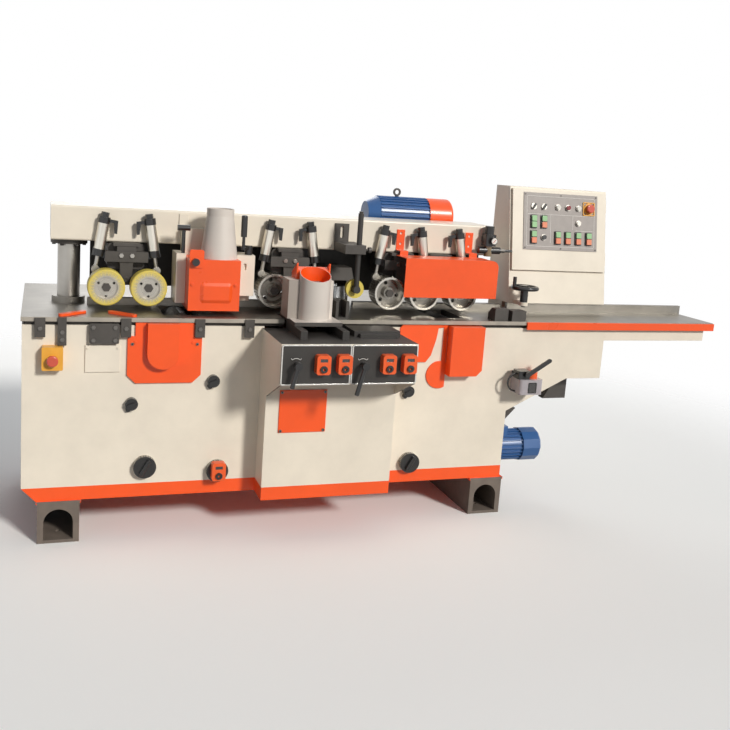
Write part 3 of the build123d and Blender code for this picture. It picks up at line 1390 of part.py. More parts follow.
# Chip box around the top cutter: sheet box open at the bottom, with a tab and knob at its left
TAB_WIDTH = 54
TAB_HEIGHT = 69
with BuildPart() as chip_box:
    with BuildSketch(level(CHIP_BOX_BOTTOM)):
        with Locations(((CHIP_BOX_LEFT + CHIP_BOX_RIGHT) / 2, (CHIP_BOX_FRONT + HEAD_BLOCK_FRONT) / 2)):
            Rectangle(CHIP_BOX_LENGTH, HEAD_BLOCK_FRONT - CHIP_BOX_FRONT)
    extrude(amount=CHIP_BOX_TOP - CHIP_BOX_BOTTOM)
    offset(amount=-HOOD_SHEET, openings=chip_box.faces().sort_by(Axis.Z)[0])
    with BuildSketch(facing(HEAD_BLOCK_FRONT - HOOD_SHEET)):
        with Locations((TOP_SPINDLE_X, TOP_AXIS_Z)):
            Circle(SHAFT_R + 6)
        with Locations((TOP_SPINDLE_X, TOP_AXIS_Z - 40)):
            Rectangle(2 * SHAFT_R + 12, 80)
    extrude(amount=-HOOD_SHEET, mode=Mode.SUBTRACT)
    with BuildSketch(level(CHIP_BOX_TOP - HOOD_SHEET)):
        with Locations((HOOD_X, HOOD_Y)):
            Circle(HOOD_BASE_R - 10)
    extrude(amount=HOOD_SHEET, mode=Mode.SUBTRACT)
    with BuildSketch(facing(CHIP_BOX_FRONT - 4)):
        with Locations((CHIP_BOX_LEFT + TAB_WIDTH / 2, CHIP_BOX_TOP + 3)):
            RectangleRounded(TAB_WIDTH, TAB_HEIGHT, 8)
        with Locations((CHIP_BOX_LEFT + 14, 968), (CHIP_BOX_RIGHT - 17, 968)):
            Circle(6)
    extrude(amount=-4)
    with BuildSketch(facing(CHIP_BOX_FRONT - 4)):
        with Locations((CHIP_BOX_LEFT + 22, CHIP_BOX_TOP - 8)):
            Circle(14)
    extrude(amount=18)
chip_box.part.label = "chip_box"
export_step(chip_box.part, "parts/chip_box.step")

# Top hood: hollow cone on the chip box with a cylindrical hose collar
with BuildPart() as top_hood:
    with BuildSketch(Plane(origin=(HOOD_X, HOOD_Y, 0), x_dir=(1, 0, 0), z_dir=(0, -1, 0))):
        with BuildLine():
            Polyline(
                (HOOD_BASE_R - HOOD_SHEET, CHIP_BOX_TOP),
                (HOOD_BASE_R, CHIP_BOX_TOP),
                (HOOD_TOP_R, HOOD_TOP - HOOD_COLLAR),
                (HOOD_TOP_R, HOOD_TOP),
                (HOOD_TOP_R - HOOD_SHEET, HOOD_TOP),
                (HOOD_TOP_R - HOOD_SHEET, HOOD_TOP - HOOD_COLLAR),
                close=True,
            )
        make_face()
    revolve(axis=Axis((HOOD_X, HOOD_Y, 0), (0, 0, 1)))
top_hood.part.label = "top_hood"
export_step(top_hood.part, "parts/top_hood.step")

# Crank handle of the top head's height screw, with its grip upright at the end of the arm
CRANK_LEAN = 232
CRANK_ARM_Z = HEAD_TOP + 22
with BuildPart() as crank_handle:
    with BuildSketch(level(HEAD_TOP - 50)):
        with Locations((CRANK_X, CRANK_Y)):
            Circle(8)
    extrude(amount=50)
    with BuildSketch(level(HEAD_TOP + SEAT)):
        with Locations((CRANK_X, CRANK_Y)):
            Circle(15)
    extrude(amount=22 - SEAT + 14)
    with BuildSketch(level(HEAD_TOP - 1)):
        with Locations((CRANK_X, CRANK_Y)):
            Circle(8)
    extrude(amount=3)
    with BuildSketch(level(CRANK_ARM_Z)):
        with Locations(Location((CRANK_X, CRANK_Y, 0), (0, 0, CRANK_LEAN))):
            with Locations((CRANK_RADIUS / 2, 0)):
                SlotOverall(CRANK_RADIUS + 18, 18)
    extrude(amount=10)
    with BuildSketch(level(CRANK_ARM_Z + 10)):
        with Locations(Location((CRANK_X, CRANK_Y, 0), (0, 0, CRANK_LEAN))):
            with Locations((CRANK_RADIUS, 0)):
                Circle(6)
    extrude(amount=40)
    with BuildSketch(level(CRANK_ARM_Z + 50)):
        with Locations(Location((CRANK_X, CRANK_Y, 0), (0, 0, CRANK_LEAN))):
            with Locations((CRANK_RADIUS, 0)):
                Circle(12)
    extrude(amount=84)
    fillet(crank_handle.faces().sort_by(Axis.Z)[-1].edges(), radius=6)
crank_handle.part.label = "crank_handle"
export_step(crank_handle.part, "parts/crank_handle.step")

# Left head: slide plate, hollow shroud, dust chute with a slanted mouth and a deflector on top
SHROUD_BACK = FRONT + 40
CAVITY_R = SIDE_CUTTER_R + 4
with BuildPart() as left_head:
    with BuildSketch(level(SLIDE_TOP - SLIDE_THICKNESS)):
        with Locations((LEFT_SPINDLE_X, (SLIDE_FRONT + SLIDE_BACK) / 2)):
            Rectangle(SLIDE_WIDTH, SLIDE_BACK - SLIDE_FRONT)
    extrude(amount=SLIDE_THICKNESS)
    with BuildSketch(level(CAB_TOP + 2)):
        with Locations((LEFT_SPINDLE_X, LEFT_SPINDLE_Y)):
            Circle(34)
    extrude(amount=SLIDE_TOP - SLIDE_THICKNESS - CAB_TOP - 2)
    with BuildSketch(level(SLIDE_TOP)):
        with Locations((LEFT_SPINDLE_X + (SHROUD_HALF - SHROUD_LEFT) / 2, (CHUTE_Y + SHROUD_BACK) / 2)):
            Rectangle(SHROUD_HALF + SHROUD_LEFT, SHROUD_BACK - CHUTE_Y)
    extrude(amount=SHROUD_TOP - SLIDE_TOP)
    with BuildSketch(side(LEFT_SPINDLE_X - 67)):
        with BuildLine():
            Polyline(
                (CHUTE_Y + 30, SHROUD_TOP),
                (SHROUD_BACK, SHROUD_TOP),
                (SHROUD_BACK, SHROUD_TOP + 20),
                (CHUTE_Y + 30, SHROUD_TOP + 62),
                close=True,
            )
        make_face()
    extrude(amount=134)
    with BuildSketch(level(SLIDE_TOP)):
        with Locations((LEFT_SPINDLE_X, CHUTE_Y)):
            Circle(CHUTE_R)
    extrude(amount=CHUTE_TOP - SLIDE_TOP + CHUTE_R)
    with BuildSketch(level(SLIDE_TOP)):
        with Locations((LEFT_SPINDLE_X, CHUTE_Y)):
            Circle(CHUTE_R - CHUTE_WALL - STUB_LEDGE)
    extrude(amount=CHUTE_TOP - SLIDE_TOP + CHUTE_R, mode=Mode.SUBTRACT)
    # Seat of the hose stub
    with BuildSketch(level(STUB_SEAT)):
        with Locations((LEFT_SPINDLE_X, CHUTE_Y)):
            Circle(CHUTE_R - CHUTE_WALL)
    extrude(amount=CHUTE_TOP - STUB_SEAT + CHUTE_R, mode=Mode.SUBTRACT)
    with BuildSketch(level(SLIDE_TOP)):
        with Locations((LEFT_SPINDLE_X, LEFT_SPINDLE_Y)):
            Circle(CAVITY_R)
    extrude(amount=SHROUD_TOP - 10 - SLIDE_TOP, mode=Mode.SUBTRACT)
    # Slanted mouth
    rise = tan(radians(CHUTE_CUT_ANGLE))
    with BuildSketch(side(LEFT_SPINDLE_X - CHUTE_R - 1)):
        with BuildLine():
            Polyline(
                (CHUTE_Y - CHUTE_R - 1, CHUTE_TOP - CHUTE_R * rise),
                (CHUTE_Y + CHUTE_R + 1, CHUTE_TOP + CHUTE_R * rise + 16),
                (CHUTE_Y + CHUTE_R + 1, CHUTE_TOP + CHUTE_R + 30),
                (CHUTE_Y - CHUTE_R - 1, CHUTE_TOP + CHUTE_R + 30),
                close=True,
            )
        make_face()
    extrude(amount=2 * CHUTE_R + 2, mode=Mode.SUBTRACT)
    with BuildSketch(level(CAB_TOP)):
        with Locations((LEFT_SPINDLE_X, LEFT_SPINDLE_Y)):
            Circle(SHAFT_R + RUNNING_GAP)
    extrude(amount=SLIDE_TOP - CAB_TOP, mode=Mode.SUBTRACT)
left_head.part.label = "left_head"
export_step(left_head.part, "parts/left_head.step")


def spindle(plane, cutter_r, cutter_length, shaft_end, pulley_start):
    """Cutterhead with four knives on its shaft; the plane's normal runs from cutter to pulley."""
    with BuildPart() as body:
        with BuildSketch(plane):
            Circle(cutter_r - 3)
            with PolarLocations(cutter_r - 9, KNIFE_COUNT):
                Rectangle(18, 5)
        extrude(amount=cutter_length)
        with BuildSketch(plane.offset(-6)):
            RegularPolygon(SHAFT_R, 6)
        extrude(amount=6)
        with BuildSketch(plane.offset(cutter_length)):
            Circle(SHAFT_R)
        extrude(amount=shaft_end - cutter_length)
        if pulley_start:
            with BuildSketch(plane.offset(pulley_start)):
                Circle(PULLEY_R)
            extrude(amount=PULLEY_WIDTH)
    return body


def across(x, y, z):
    """Plane at the front end of a spindle that runs to the back."""
    return Plane(origin=(x, y, z), x_dir=(1, 0, 0), z_dir=(0, 1, 0))


def downwards(x, y, z):
    """Plane at the top end of an upright spindle."""
    return Plane(origin=(x, y, z), x_dir=(1, 0, 0), z_dir=(0, 0, -1))


# Five cutter spindles
LEFT_CUTTER_TOP = SLIDE_TOP + 2 + SIDE_CUTTER_HEIGHT
RIGHT_CUTTER_TOP = TABLE_TOP + 2 + SIDE_CUTTER_HEIGHT
TOP_CUTTER_LENGTH = 140
spindle_list = [
    ("bottom_spindle_infeed", across(INFEED_BOTTOM_X, CUTTER_FRONT_Y, BOTTOM_AXIS_Z),
     CUTTER_R, BOTTOM_CUTTER_LENGTH, 560, 510),
    ("bottom_spindle_outfeed", across(OUTFEED_BOTTOM_X, CUTTER_FRONT_Y, BOTTOM_AXIS_Z),
     CUTTER_R, BOTTOM_CUTTER_LENGTH, 560, 510),
    ("top_spindle", across(TOP_SPINDLE_X, CUTTER_FRONT_Y, TOP_AXIS_Z),
     TOP_CUTTER_R, TOP_CUTTER_LENGTH, 424, 376),
    ("right_spindle", downwards(RIGHT_SPINDLE_X, RIGHT_SPINDLE_Y, RIGHT_CUTTER_TOP),
     SIDE_CUTTER_R, SIDE_CUTTER_HEIGHT, 350, 302),
    ("left_spindle", downwards(LEFT_SPINDLE_X, LEFT_SPINDLE_Y, LEFT_CUTTER_TOP),
     SIDE_CUTTER_R, SIDE_CUTTER_HEIGHT, LEFT_CUTTER_TOP - CAB_TOP - 4, 0),
]
for spindle_name, plane, cutter_r, cutter_length, shaft_end, pulley_start in spindle_list:
    body = spindle(plane, cutter_r, cutter_length, shaft_end, pulley_start)
    body.part.label = spindle_name
    export_step(body.part, f"parts/{spindle_name}.step")

# Electrical cabinet: hollow sheet box with a leaning front, on a pedestal behind the fence,
# with a short arm in front that holds the handwheel
WHEEL_POST_X = LEFT + 2066
WHEEL_POST_Y = FRONT + 150
WHEEL_PIN_R = 9
ARM_BOTTOM = 893
ARM_HEIGHT = 16
HANDWHEEL_Z = 972
ECAB_RIGHT = ECAB_LEFT + ECAB_WIDTH
ecab_lean = (ECAB_FRONT_HIGH - ECAB_FRONT_LOW) / (ECAB_TOP - ECAB_BOTTOM)
slope_unit = (1 + ecab_lean ** 2) ** 0.5
DOOR_LOW = 147 * slope_unit
DOOR_HIGH = (ECAB_TOP - ECAB_BOTTOM - 10) * slope_unit
FRONT_PLANE = Plane(
    origin=(ECAB_LEFT, ECAB_FRONT_LOW, ECAB_BOTTOM),
    x_dir=(1, 0, 0),
    z_dir=(0, -1 / slope_unit, ecab_lean / slope_unit),
)
DOOR_WIDTH = ECAB_WIDTH - 2 * DOOR_MARGIN
door_middle = (ECAB_WIDTH / 2, (DOOR_LOW + DOOR_HIGH) / 2)
with BuildPart() as cabinet_hollow:
    with BuildSketch(side(ECAB_LEFT)):
        with BuildLine():
            Polyline(
                (ECAB_FRONT_LOW, ECAB_BOTTOM),
                (ECAB_BACK, ECAB_BOTTOM),
                (ECAB_BACK, ECAB_TOP),
                (ECAB_FRONT_HIGH, ECAB_TOP),
                close=True,
            )
        make_face()
    extrude(amount=ECAB_WIDTH)
    offset(amount=-ECAB_SHEET, mode=Mode.REPLACE, kind=Kind.INTERSECTION)
with BuildPart() as electrical_cabinet:
    with BuildSketch(side(ECAB_LEFT)):
        with BuildLine():
            Polyline(
                (ECAB_FRONT_LOW, ECAB_BOTTOM),
                (ECAB_BACK, ECAB_BOTTOM),
                (ECAB_BACK, ECAB_TOP),
                (ECAB_FRONT_HIGH, ECAB_TOP),
                close=True,
            )
        make_face()
    extrude(amount=ECAB_WIDTH)
    add(cabinet_hollow.part, mode=Mode.SUBTRACT)
    with BuildSketch(FRONT_PLANE.offset(-ECAB_SHEET - 2)):
        with Locations(door_middle):
            Rectangle(DOOR_WIDTH - 50, DOOR_HIGH - DOOR_LOW - 50)
    extrude(amount=ECAB_SHEET + 4, mode=Mode.SUBTRACT)
    with BuildSketch(level(TABLE_TOP)):
        with Locations(((ECAB_LEFT + BED_END) / 2, (FRONT + 294 + ECAB_BACK) / 2)):
            Rectangle(BED_END - ECAB_LEFT - 20, ECAB_BACK - FRONT - 294)
    extrude(amount=ECAB_BOTTOM - TABLE_TOP)
    with BuildSketch(level(ARM_BOTTOM)):
        with Locations((WHEEL_POST_X, (WHEEL_POST_Y + ECAB_FRONT_LOW + 2) / 2)):
            Rectangle(30, ECAB_FRONT_LOW + 2 - WHEEL_POST_Y)
        with Locations((WHEEL_POST_X, WHEEL_POST_Y)):
            Circle(20)
            Circle(WHEEL_PIN_R + RUNNING_GAP, mode=Mode.SUBTRACT)
    extrude(amount=ARM_HEIGHT)
    with BuildSketch(level(ARM_BOTTOM)):
        with Locations((WHEEL_POST_X, WHEEL_POST_Y)):
            Circle(WHEEL_PIN_R + RUNNING_GAP)
    extrude(amount=ARM_HEIGHT, mode=Mode.SUBTRACT)
electrical_cabinet.part.label = "electrical_cabinet"
export_step(electrical_cabinet.part, "parts/electrical_cabinet.step")

# Door of the electrical cabinet, with a hinge barrel along its right edge
HINGE_R = 5
with BuildPart() as electrical_door:
    with BuildSketch(FRONT_PLANE.offset(SEAT)):
        with Locations(door_middle):
            Rectangle(DOOR_WIDTH, DOOR_HIGH - DOOR_LOW)
    extrude(amount=DOOR_THICKNESS)
    hinge_plane = Plane(
        origin=FRONT_PLANE.from_local_coords((ECAB_WIDTH - DOOR_MARGIN, DOOR_LOW + 30, SEAT + 6)),
        x_dir=(1, 0, 0),
        z_dir=(0, ecab_lean / slope_unit, 1 / slope_unit),
    )
    with BuildSketch(hinge_plane):
        Circle(HINGE_R)
    extrude(amount=60)
    with BuildSketch(hinge_plane.offset(DOOR_HIGH - DOOR_LOW - 120)):
        Circle(HINGE_R)
    extrude(amount=60)
electrical_door.part.label = "electrical_door"
export_step(electrical_door.part, "parts/electrical_door.step")

# Control plate on the door: selectors, round and double push buttons, collar of the stop button
PLATE_THICKNESS = 3
PLATE_CENTRE_UP = (PLATE_CENTRE_Z - ECAB_BOTTOM) * slope_unit
PLATE_PLANE = FRONT_PLANE.offset(SEAT + DOOR_THICKNESS)
COLUMN_STEPS = [50, 102, 174, 226, 281, 336]
ROW_STEPS = [62, 130, 200]


def control(column, row):
    """Place of one control on the plate, from the column and row numbers."""
    across_plate = PLATE_CENTRE_X - ECAB_LEFT - PLATE_WIDTH / 2 + COLUMN_STEPS[column]
    up_plate = PLATE_CENTRE_UP + PLATE_HEIGHT / 2 - ROW_STEPS[row]
    return (across_plate, up_plate)


SELECTORS = [control(0, 0), control(1, 0)]
ROUNDS = [control(2, 0), control(3, 0), control(4, 0), control(4, 1), control(1, 2)]
DOUBLES = [control(0, 1), control(1, 1), control(0, 2), control(2, 2), control(3, 2), control(4, 2),
           control(5, 2)]
STOP_PLACE = control(5, 0)
with BuildPart() as control_plate:
    with BuildSketch(PLATE_PLANE):
        with Locations((PLATE_CENTRE_X - ECAB_LEFT, PLATE_CENTRE_UP)):
            Rectangle(PLATE_WIDTH, PLATE_HEIGHT)
    extrude(amount=PLATE_THICKNESS)
    with BuildSketch(PLATE_PLANE.offset(PLATE_THICKNESS)):
        with Locations(*SELECTORS, *ROUNDS):
            Circle(14)
        with Locations(*DOUBLES):
            RectangleRounded(33, 60, 3)
    extrude(amount=5)
    with BuildSketch(PLATE_PLANE.offset(PLATE_THICKNESS + 5)):
        with Locations(*ROUNDS):
            Circle(10.5)
        with Locations(*[(x, y + 14) for x, y in DOUBLES]):
            RectangleRounded(24, 25, 3)
        with Locations(*[(x, y - 14) for x, y in DOUBLES]):
            RectangleRounded(24, 25, 3)
        with Locations(*SELECTORS):
            Rectangle(8, 26, rotation=-35)
    extrude(amount=7)
    with BuildSketch(PLATE_PLANE.offset(PLATE_THICKNESS)):
        with Locations(STOP_PLACE):
            Circle(26)
    extrude(amount=6)
    with BuildSketch(PLATE_PLANE):
        with Locations(STOP_PLACE):
            Circle(8 + RUNNING_GAP)
    extrude(amount=PLATE_THICKNESS + 6, mode=Mode.SUBTRACT)
control_plate.part.label = "control_plate"
export_step(control_plate.part, "parts/control_plate.step")

# Mushroom button on the control plate
with BuildPart() as estop_button_right:
    with BuildSketch(PLATE_PLANE.offset(4.5)):
        with Locations(STOP_PLACE):
            Circle(8)
    extrude(amount=PLATE_THICKNESS + 6 + 6 - 4.5)
    with BuildSketch(PLATE_PLANE.offset(PLATE_THICKNESS + 12)):
        with Locations(STOP_PLACE):
            Circle(MUSHROOM_R)
    extrude(amount=12)
    fillet(estop_button_right.faces().sort_by(Axis.Y)[0].edges(), radius=5)
estop_button_right.part.label = "estop_button_right"
export_step(estop_button_right.part, "parts/estop_button_right.step")

# Infeed table: plate on two channel beams, painted edge strip and fence
INFEED_END = BED_END + INFEED_LENGTH
with BuildPart() as infeed_table:
    with BuildSketch(level(TABLE_TOP - 8)):
        with Locations(((BED_END + INFEED_END) / 2, FRONT - TABLE_OVERHANG + INFEED_DEPTH / 2 + 6)):
            Rectangle(INFEED_LENGTH, INFEED_DEPTH + TABLE_OVERHANG)
    extrude(amount=8)
    with BuildSketch(level(INFEED_CHANNEL_BOTTOM)):
        with Locations(((BED_END + INFEED_END - INFEED_CHANNEL_SHORT) / 2, FRONT + 30)):
            Rectangle(INFEED_LENGTH - INFEED_CHANNEL_SHORT, 60)
        with Locations(((BED_END + INFEED_END - INFEED_CHANNEL_SHORT) / 2, FRONT + 230)):
            Rectangle(INFEED_LENGTH - INFEED_CHANNEL_SHORT, 60)
    extrude(amount=TABLE_TOP - 8 - INFEED_CHANNEL_BOTTOM)
    with BuildSketch(facing(FRONT - TABLE_OVERHANG - 8)):
        with Locations(((LEFT + 2000 + INFEED_END) / 2, TABLE_TOP - 2 - INFEED_STRIP / 2)):
            Rectangle(INFEED_END - LEFT - 2000, INFEED_STRIP)
    extrude(amount=-8)
    with BuildSketch(level(TABLE_TOP)):
        with Locations(((LEFT + 2030 + INFEED_END) / 2, INFEED_FENCE_Y + 9)):
            Rectangle(INFEED_END - LEFT - 2030, 18)
    extrude(amount=ECAB_BOTTOM - 3 - TABLE_TOP)
infeed_table.part.label = "infeed_table"
export_step(infeed_table.part, "parts/infeed_table.step")

# Handwheel: rim, three spokes, hub on a pin, and an upright grip on the rim
HANDWHEEL_R = 62
RIM_R = 9
with BuildPart() as handwheel:
    with BuildSketch(Plane(origin=(WHEEL_POST_X, WHEEL_POST_Y, HANDWHEEL_Z), x_dir=(1, 0, 0),
                           z_dir=(0, -1, 0))):
        with Locations((HANDWHEEL_R - RIM_R, 0)):
            Circle(RIM_R)
    revolve(axis=Axis((WHEEL_POST_X, WHEEL_POST_Y, 0), (0, 0, 1)))
    with BuildSketch(level(HANDWHEEL_Z - 5)):
        with Locations((WHEEL_POST_X, WHEEL_POST_Y)):
            with PolarLocations((HANDWHEEL_R - RIM_R) / 2, 3, start_angle=100):
                Rectangle(HANDWHEEL_R - RIM_R, 12)
    extrude(amount=10)
    with BuildSketch(level(ARM_BOTTOM + ARM_HEIGHT + SEAT)):
        with Locations((WHEEL_POST_X, WHEEL_POST_Y)):
            Circle(17)
    extrude(amount=HANDWHEEL_Z + 10 - ARM_BOTTOM - ARM_HEIGHT - SEAT)
    with BuildSketch(level(ARM_BOTTOM - 6)):
        with Locations((WHEEL_POST_X, WHEEL_POST_Y)):
            Circle(WHEEL_PIN_R)
    extrude(amount=ARM_HEIGHT + 12)
    with BuildSketch(level(HANDWHEEL_Z)):
        with Locations((WHEEL_POST_X - HANDWHEEL_R + RIM_R, WHEEL_POST_Y)):
            Circle(8)
    extrude(amount=48)
handwheel.part.label = "handwheel"
export_step(handwheel.part, "parts/handwheel.step")

# Oil pump on the front: bottle, black head, filler cap and a looped suction tube
with BuildPart() as oil_pump:
    with BuildSketch(level(PUMP_BOTTOM + 20)):
        with Locations((PUMP_X + 5, FRONT - 52)):
            RectangleRounded(110, 84, 14)
    extrude(amount=64)
    with BuildSketch(facing(FRONT - 12)):
        with Locations((PUMP_X + 5, PUMP_BOTTOM + 66)):
            Rectangle(96, 80)
    extrude(amount=-12)
    with BuildSketch(level(PUMP_BOTTOM + 84)):
        with Locations((PUMP_X - 24, FRONT - 52)):
            RectangleRounded(56, 56, 8)
    extrude(amount=34)
    with BuildSketch(level(PUMP_BOTTOM + 84)):
        with Locations((PUMP_X + 26, FRONT - 52)):
            Circle(23)
    extrude(amount=26)
    with BuildSketch(side(PUMP_X - 48)):
        with Locations((FRONT - 52, PUMP_BOTTOM + 104)):
            Circle(4)
    with BuildLine():
        ThreePointArc(
            (PUMP_X - 48, FRONT - 52, PUMP_BOTTOM + 104),
            (PUMP_X - 86, FRONT - 52, PUMP_BOTTOM + 66),
            (PUMP_X - 48, FRONT - 52, PUMP_BOTTOM + 28),
        )
    sweep()
oil_pump.part.label = "oil_pump"
export_step(oil_pump.part, "parts/oil_pump.step")

# Pump lever: flat arm on a cross pin in front of the pump head
PUMP_PIN_X = PUMP_X - 16
PUMP_PIN_Z = PUMP_BOTTOM + 104
with BuildPart() as pump_lever:
    with BuildSketch(facing(FRONT - 94)):
        with Locations((PUMP_PIN_X, PUMP_PIN_Z)):
            Circle(12)
        with Locations(Location((PUMP_PIN_X, PUMP_PIN_Z, 0), (0, 0, 32))):
            with Locations((58, 0)):
                SlotOverall(132, 17)
    extrude(amount=-8)
    with BuildSketch(facing(FRONT - 86)):
        with Locations((PUMP_PIN_X, PUMP_PIN_Z)):
            Circle(5)
    extrude(amount=-(6 - SEAT))
pump_lever.part.label = "pump_lever"
export_step(pump_lever.part, "parts/pump_lever.step")

# Bracket under the bed extension and a gusset on the cabinet's end wall
with BuildPart() as under_bed_rail:
    with BuildSketch(facing(FRONT + 80)):
        with BuildLine():
            Polyline(
                (RIGHT + SLOPE_RUN + 10, EXTENSION_BOTTOM),
                (RIGHT + SLOPE_RUN + 56, EXTENSION_BOTTOM),
                (RIGHT + SLOPE_RUN + 56, EXTENSION_BOTTOM - 110),
                (RIGHT + SLOPE_RUN - 58, EXTENSION_BOTTOM - 110),
                close=True,
            )
        make_face()
    extrude(amount=-40)
    with BuildSketch(facing(FRONT + 80)):
        with BuildLine():
            Polyline((RIGHT, 348), (RIGHT + 92, 446), (RIGHT, 446), close=True)
        make_face()
    extrude(amount=-60)
under_bed_rail.part.label = "under_bed_rail"
export_step(under_bed_rail.part, "parts/under_bed_rail.step")
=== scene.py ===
import math

import bmesh
import bpy
from mathutils import Matrix, Vector


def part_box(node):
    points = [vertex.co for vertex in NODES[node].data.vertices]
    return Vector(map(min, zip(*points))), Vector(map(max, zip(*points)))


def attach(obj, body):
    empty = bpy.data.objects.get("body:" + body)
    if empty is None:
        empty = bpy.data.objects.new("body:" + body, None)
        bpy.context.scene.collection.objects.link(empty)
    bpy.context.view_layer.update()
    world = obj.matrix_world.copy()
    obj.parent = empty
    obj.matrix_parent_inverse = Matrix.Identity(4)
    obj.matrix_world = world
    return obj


bl_info = {
    "name": "Four Sided Moulder",
    "version": (1, 0, 0),
    "blender": (4, 5, 0),
    "location": "3D View > Sidebar > Moulder",
    "description": "Finishes, fasteners and fittings of a four sided moulder on its packed frame",
    "category": "Object",
}

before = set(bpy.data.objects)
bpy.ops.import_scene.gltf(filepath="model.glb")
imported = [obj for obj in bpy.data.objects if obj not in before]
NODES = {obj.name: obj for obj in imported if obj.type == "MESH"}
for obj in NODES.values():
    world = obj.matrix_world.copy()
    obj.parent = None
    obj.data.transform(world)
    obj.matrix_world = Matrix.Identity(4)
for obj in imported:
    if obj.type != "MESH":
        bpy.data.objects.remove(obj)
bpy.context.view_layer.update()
MM = 0.001


def linear(hex_colour):
    """Linear RGB of an sRGB hex colour."""
    parts = [int(hex_colour[i:i + 2], 16) / 255 for i in (1, 3, 5)]
    return tuple(c / 12.92 if c <= 0.04045 else ((c + 0.055) / 1.055) ** 2.4 for c in parts)


def rgba(colour, gain=1.0):
    """Four values for a colour socket; gain darkens or lightens."""
    return (colour[0] * gain, colour[1] * gain, colour[2] * gain, 1.0)


def add_node(tree, kind, inputs=None, **settings):
    """Add a node with its settings; an input value may be a number, a colour or another socket."""
    node = tree.nodes.new(kind)
    for key, value in settings.items():
        setattr(node, key, value)
    for key, value in (inputs or {}).items():
        socket = node.inputs[key]
        if isinstance(key, str):
            # A Mix node holds a disabled A and B for each kind of value beside the live ones
            socket = next(s for s in node.inputs if s.name == key and s.enabled)
        if isinstance(value, bpy.types.NodeSocket):
            tree.links.new(value, socket)
        else:
            socket.default_value = value[:3] if socket.type == "VECTOR" else value
    return node


def blend_colours(tree, factor, first, second):
    """Output of a Mix node between two colours."""
    node = add_node(tree, "ShaderNodeMix", {"Factor": factor, "A": first, "B": second},
                    data_type="RGBA")
    return next(s for s in node.outputs if s.enabled)


def start_material(name):
    """New empty material; returns it, its tree and the socket of object coordinates."""
    material = bpy.data.materials.new(name)
    material.use_nodes = True
    tree = material.node_tree
    tree.nodes.clear()
    coords = add_node(tree, "ShaderNodeTexCoord")
    return material, tree, coords.outputs["Object"]


def end_material(tree, shader):
    """Link the shader to the material's output."""
    add_node(tree, "ShaderNodeOutputMaterial", {"Surface": shader.outputs["BSDF"]})


def noise(tree, vector, scale, detail, roughness=0.5):
    """Grey value of a Noise Texture node."""
    node = add_node(tree, "ShaderNodeTexNoise", {"Vector": vector, "Scale": scale,
                                                 "Detail": detail, "Roughness": roughness})
    return node.outputs["Fac"]


def spread(tree, value, low, high, start=0.0, end=1.0):
    """A grey value from start to end, spread between low and high."""
    node = add_node(tree, "ShaderNodeMapRange", {"Value": value, "From Min": start,
                                                 "From Max": end, "To Min": low, "To Max": high})
    return node.outputs["Result"]


def relief(tree, height, edge_mm, strength, depth_mm):
    """Normal socket for softly rounded edges with a fine relief on top."""
    edges = add_node(tree, "ShaderNodeBevel", {"Radius": edge_mm * MM}, samples=4)
    bump = add_node(tree, "ShaderNodeBump", {"Strength": strength, "Distance": depth_mm * MM,
                                             "Height": height, "Normal": edges.outputs["Normal"]})
    return bump.outputs["Normal"]


def sprayed_enamel(name, colour, roughness=0.36, band=None, band_top=0.0):
    """Stoved machine enamel on sheet steel: even colour, faint orange peel, a soft clear gloss.

    With a band colour, everything below band_top is sprayed in that colour.
    """
    material, tree, coords = start_material(name)
    base = rgba(colour)
    if band is not None:
        axes = add_node(tree, "ShaderNodeSeparateXYZ", {"Vector": coords})
        above = add_node(tree, "ShaderNodeMath", {0: axes.outputs["Z"], 1: band_top},
                         operation="GREATER_THAN")
        base = blend_colours(tree, above.outputs[0], rgba(band), rgba(colour))
    # Hand marks and dust in patches about 150 mm wide change the shade by a few percent
    patches = noise(tree, coords, 6.5, 4.0, 0.6)
    shade = spread(tree, patches, 0.93, 1.03, 0.3, 0.7)
    tinted = add_node(tree, "ShaderNodeVectorMath", {0: base, "Scale": shade}, operation="SCALE")
    gloss = spread(tree, patches, roughness - 0.06, roughness + 0.08, 0.3, 0.7)
    # Orange peel is about 1.5 mm; it is drawn at 5 mm so that it shows
    peel = noise(tree, coords, 200.0, 2.0)
    shader = add_node(tree, "ShaderNodeBsdfPrincipled", {
        "Base Color": tinted.outputs["Vector"], "Roughness": gloss, "IOR": 1.5,
        "Coat Weight": 0.2, "Coat Roughness": 0.18, "Normal": relief(tree, peel, 1.8, 0.06, 0.4)})
    end_material(tree, shader)
    return material


def cast_metal(name, colour, grain_mm=2.5, roughness=0.55, metallic=0.35):
    """Oiled or painted iron casting: sandy skin of the mould, darker in its hollows."""
    material, tree, coords = start_material(name)
    sand = noise(tree, coords, 1000 / grain_mm / 2, 3.0, 0.65)
    stains = noise(tree, coords, 18.0, 5.0)
    tone = blend_colours(tree, stains, rgba(colour, 0.62), rgba(colour, 1.35))
    shader = add_node(tree, "ShaderNodeBsdfPrincipled", {
        "Base Color": tone, "Metallic": metallic, "Roughness": roughness,
        "Normal": relief(tree, sand, 1.5, 0.35, 0.6)})
    end_material(tree, shader)
    return material


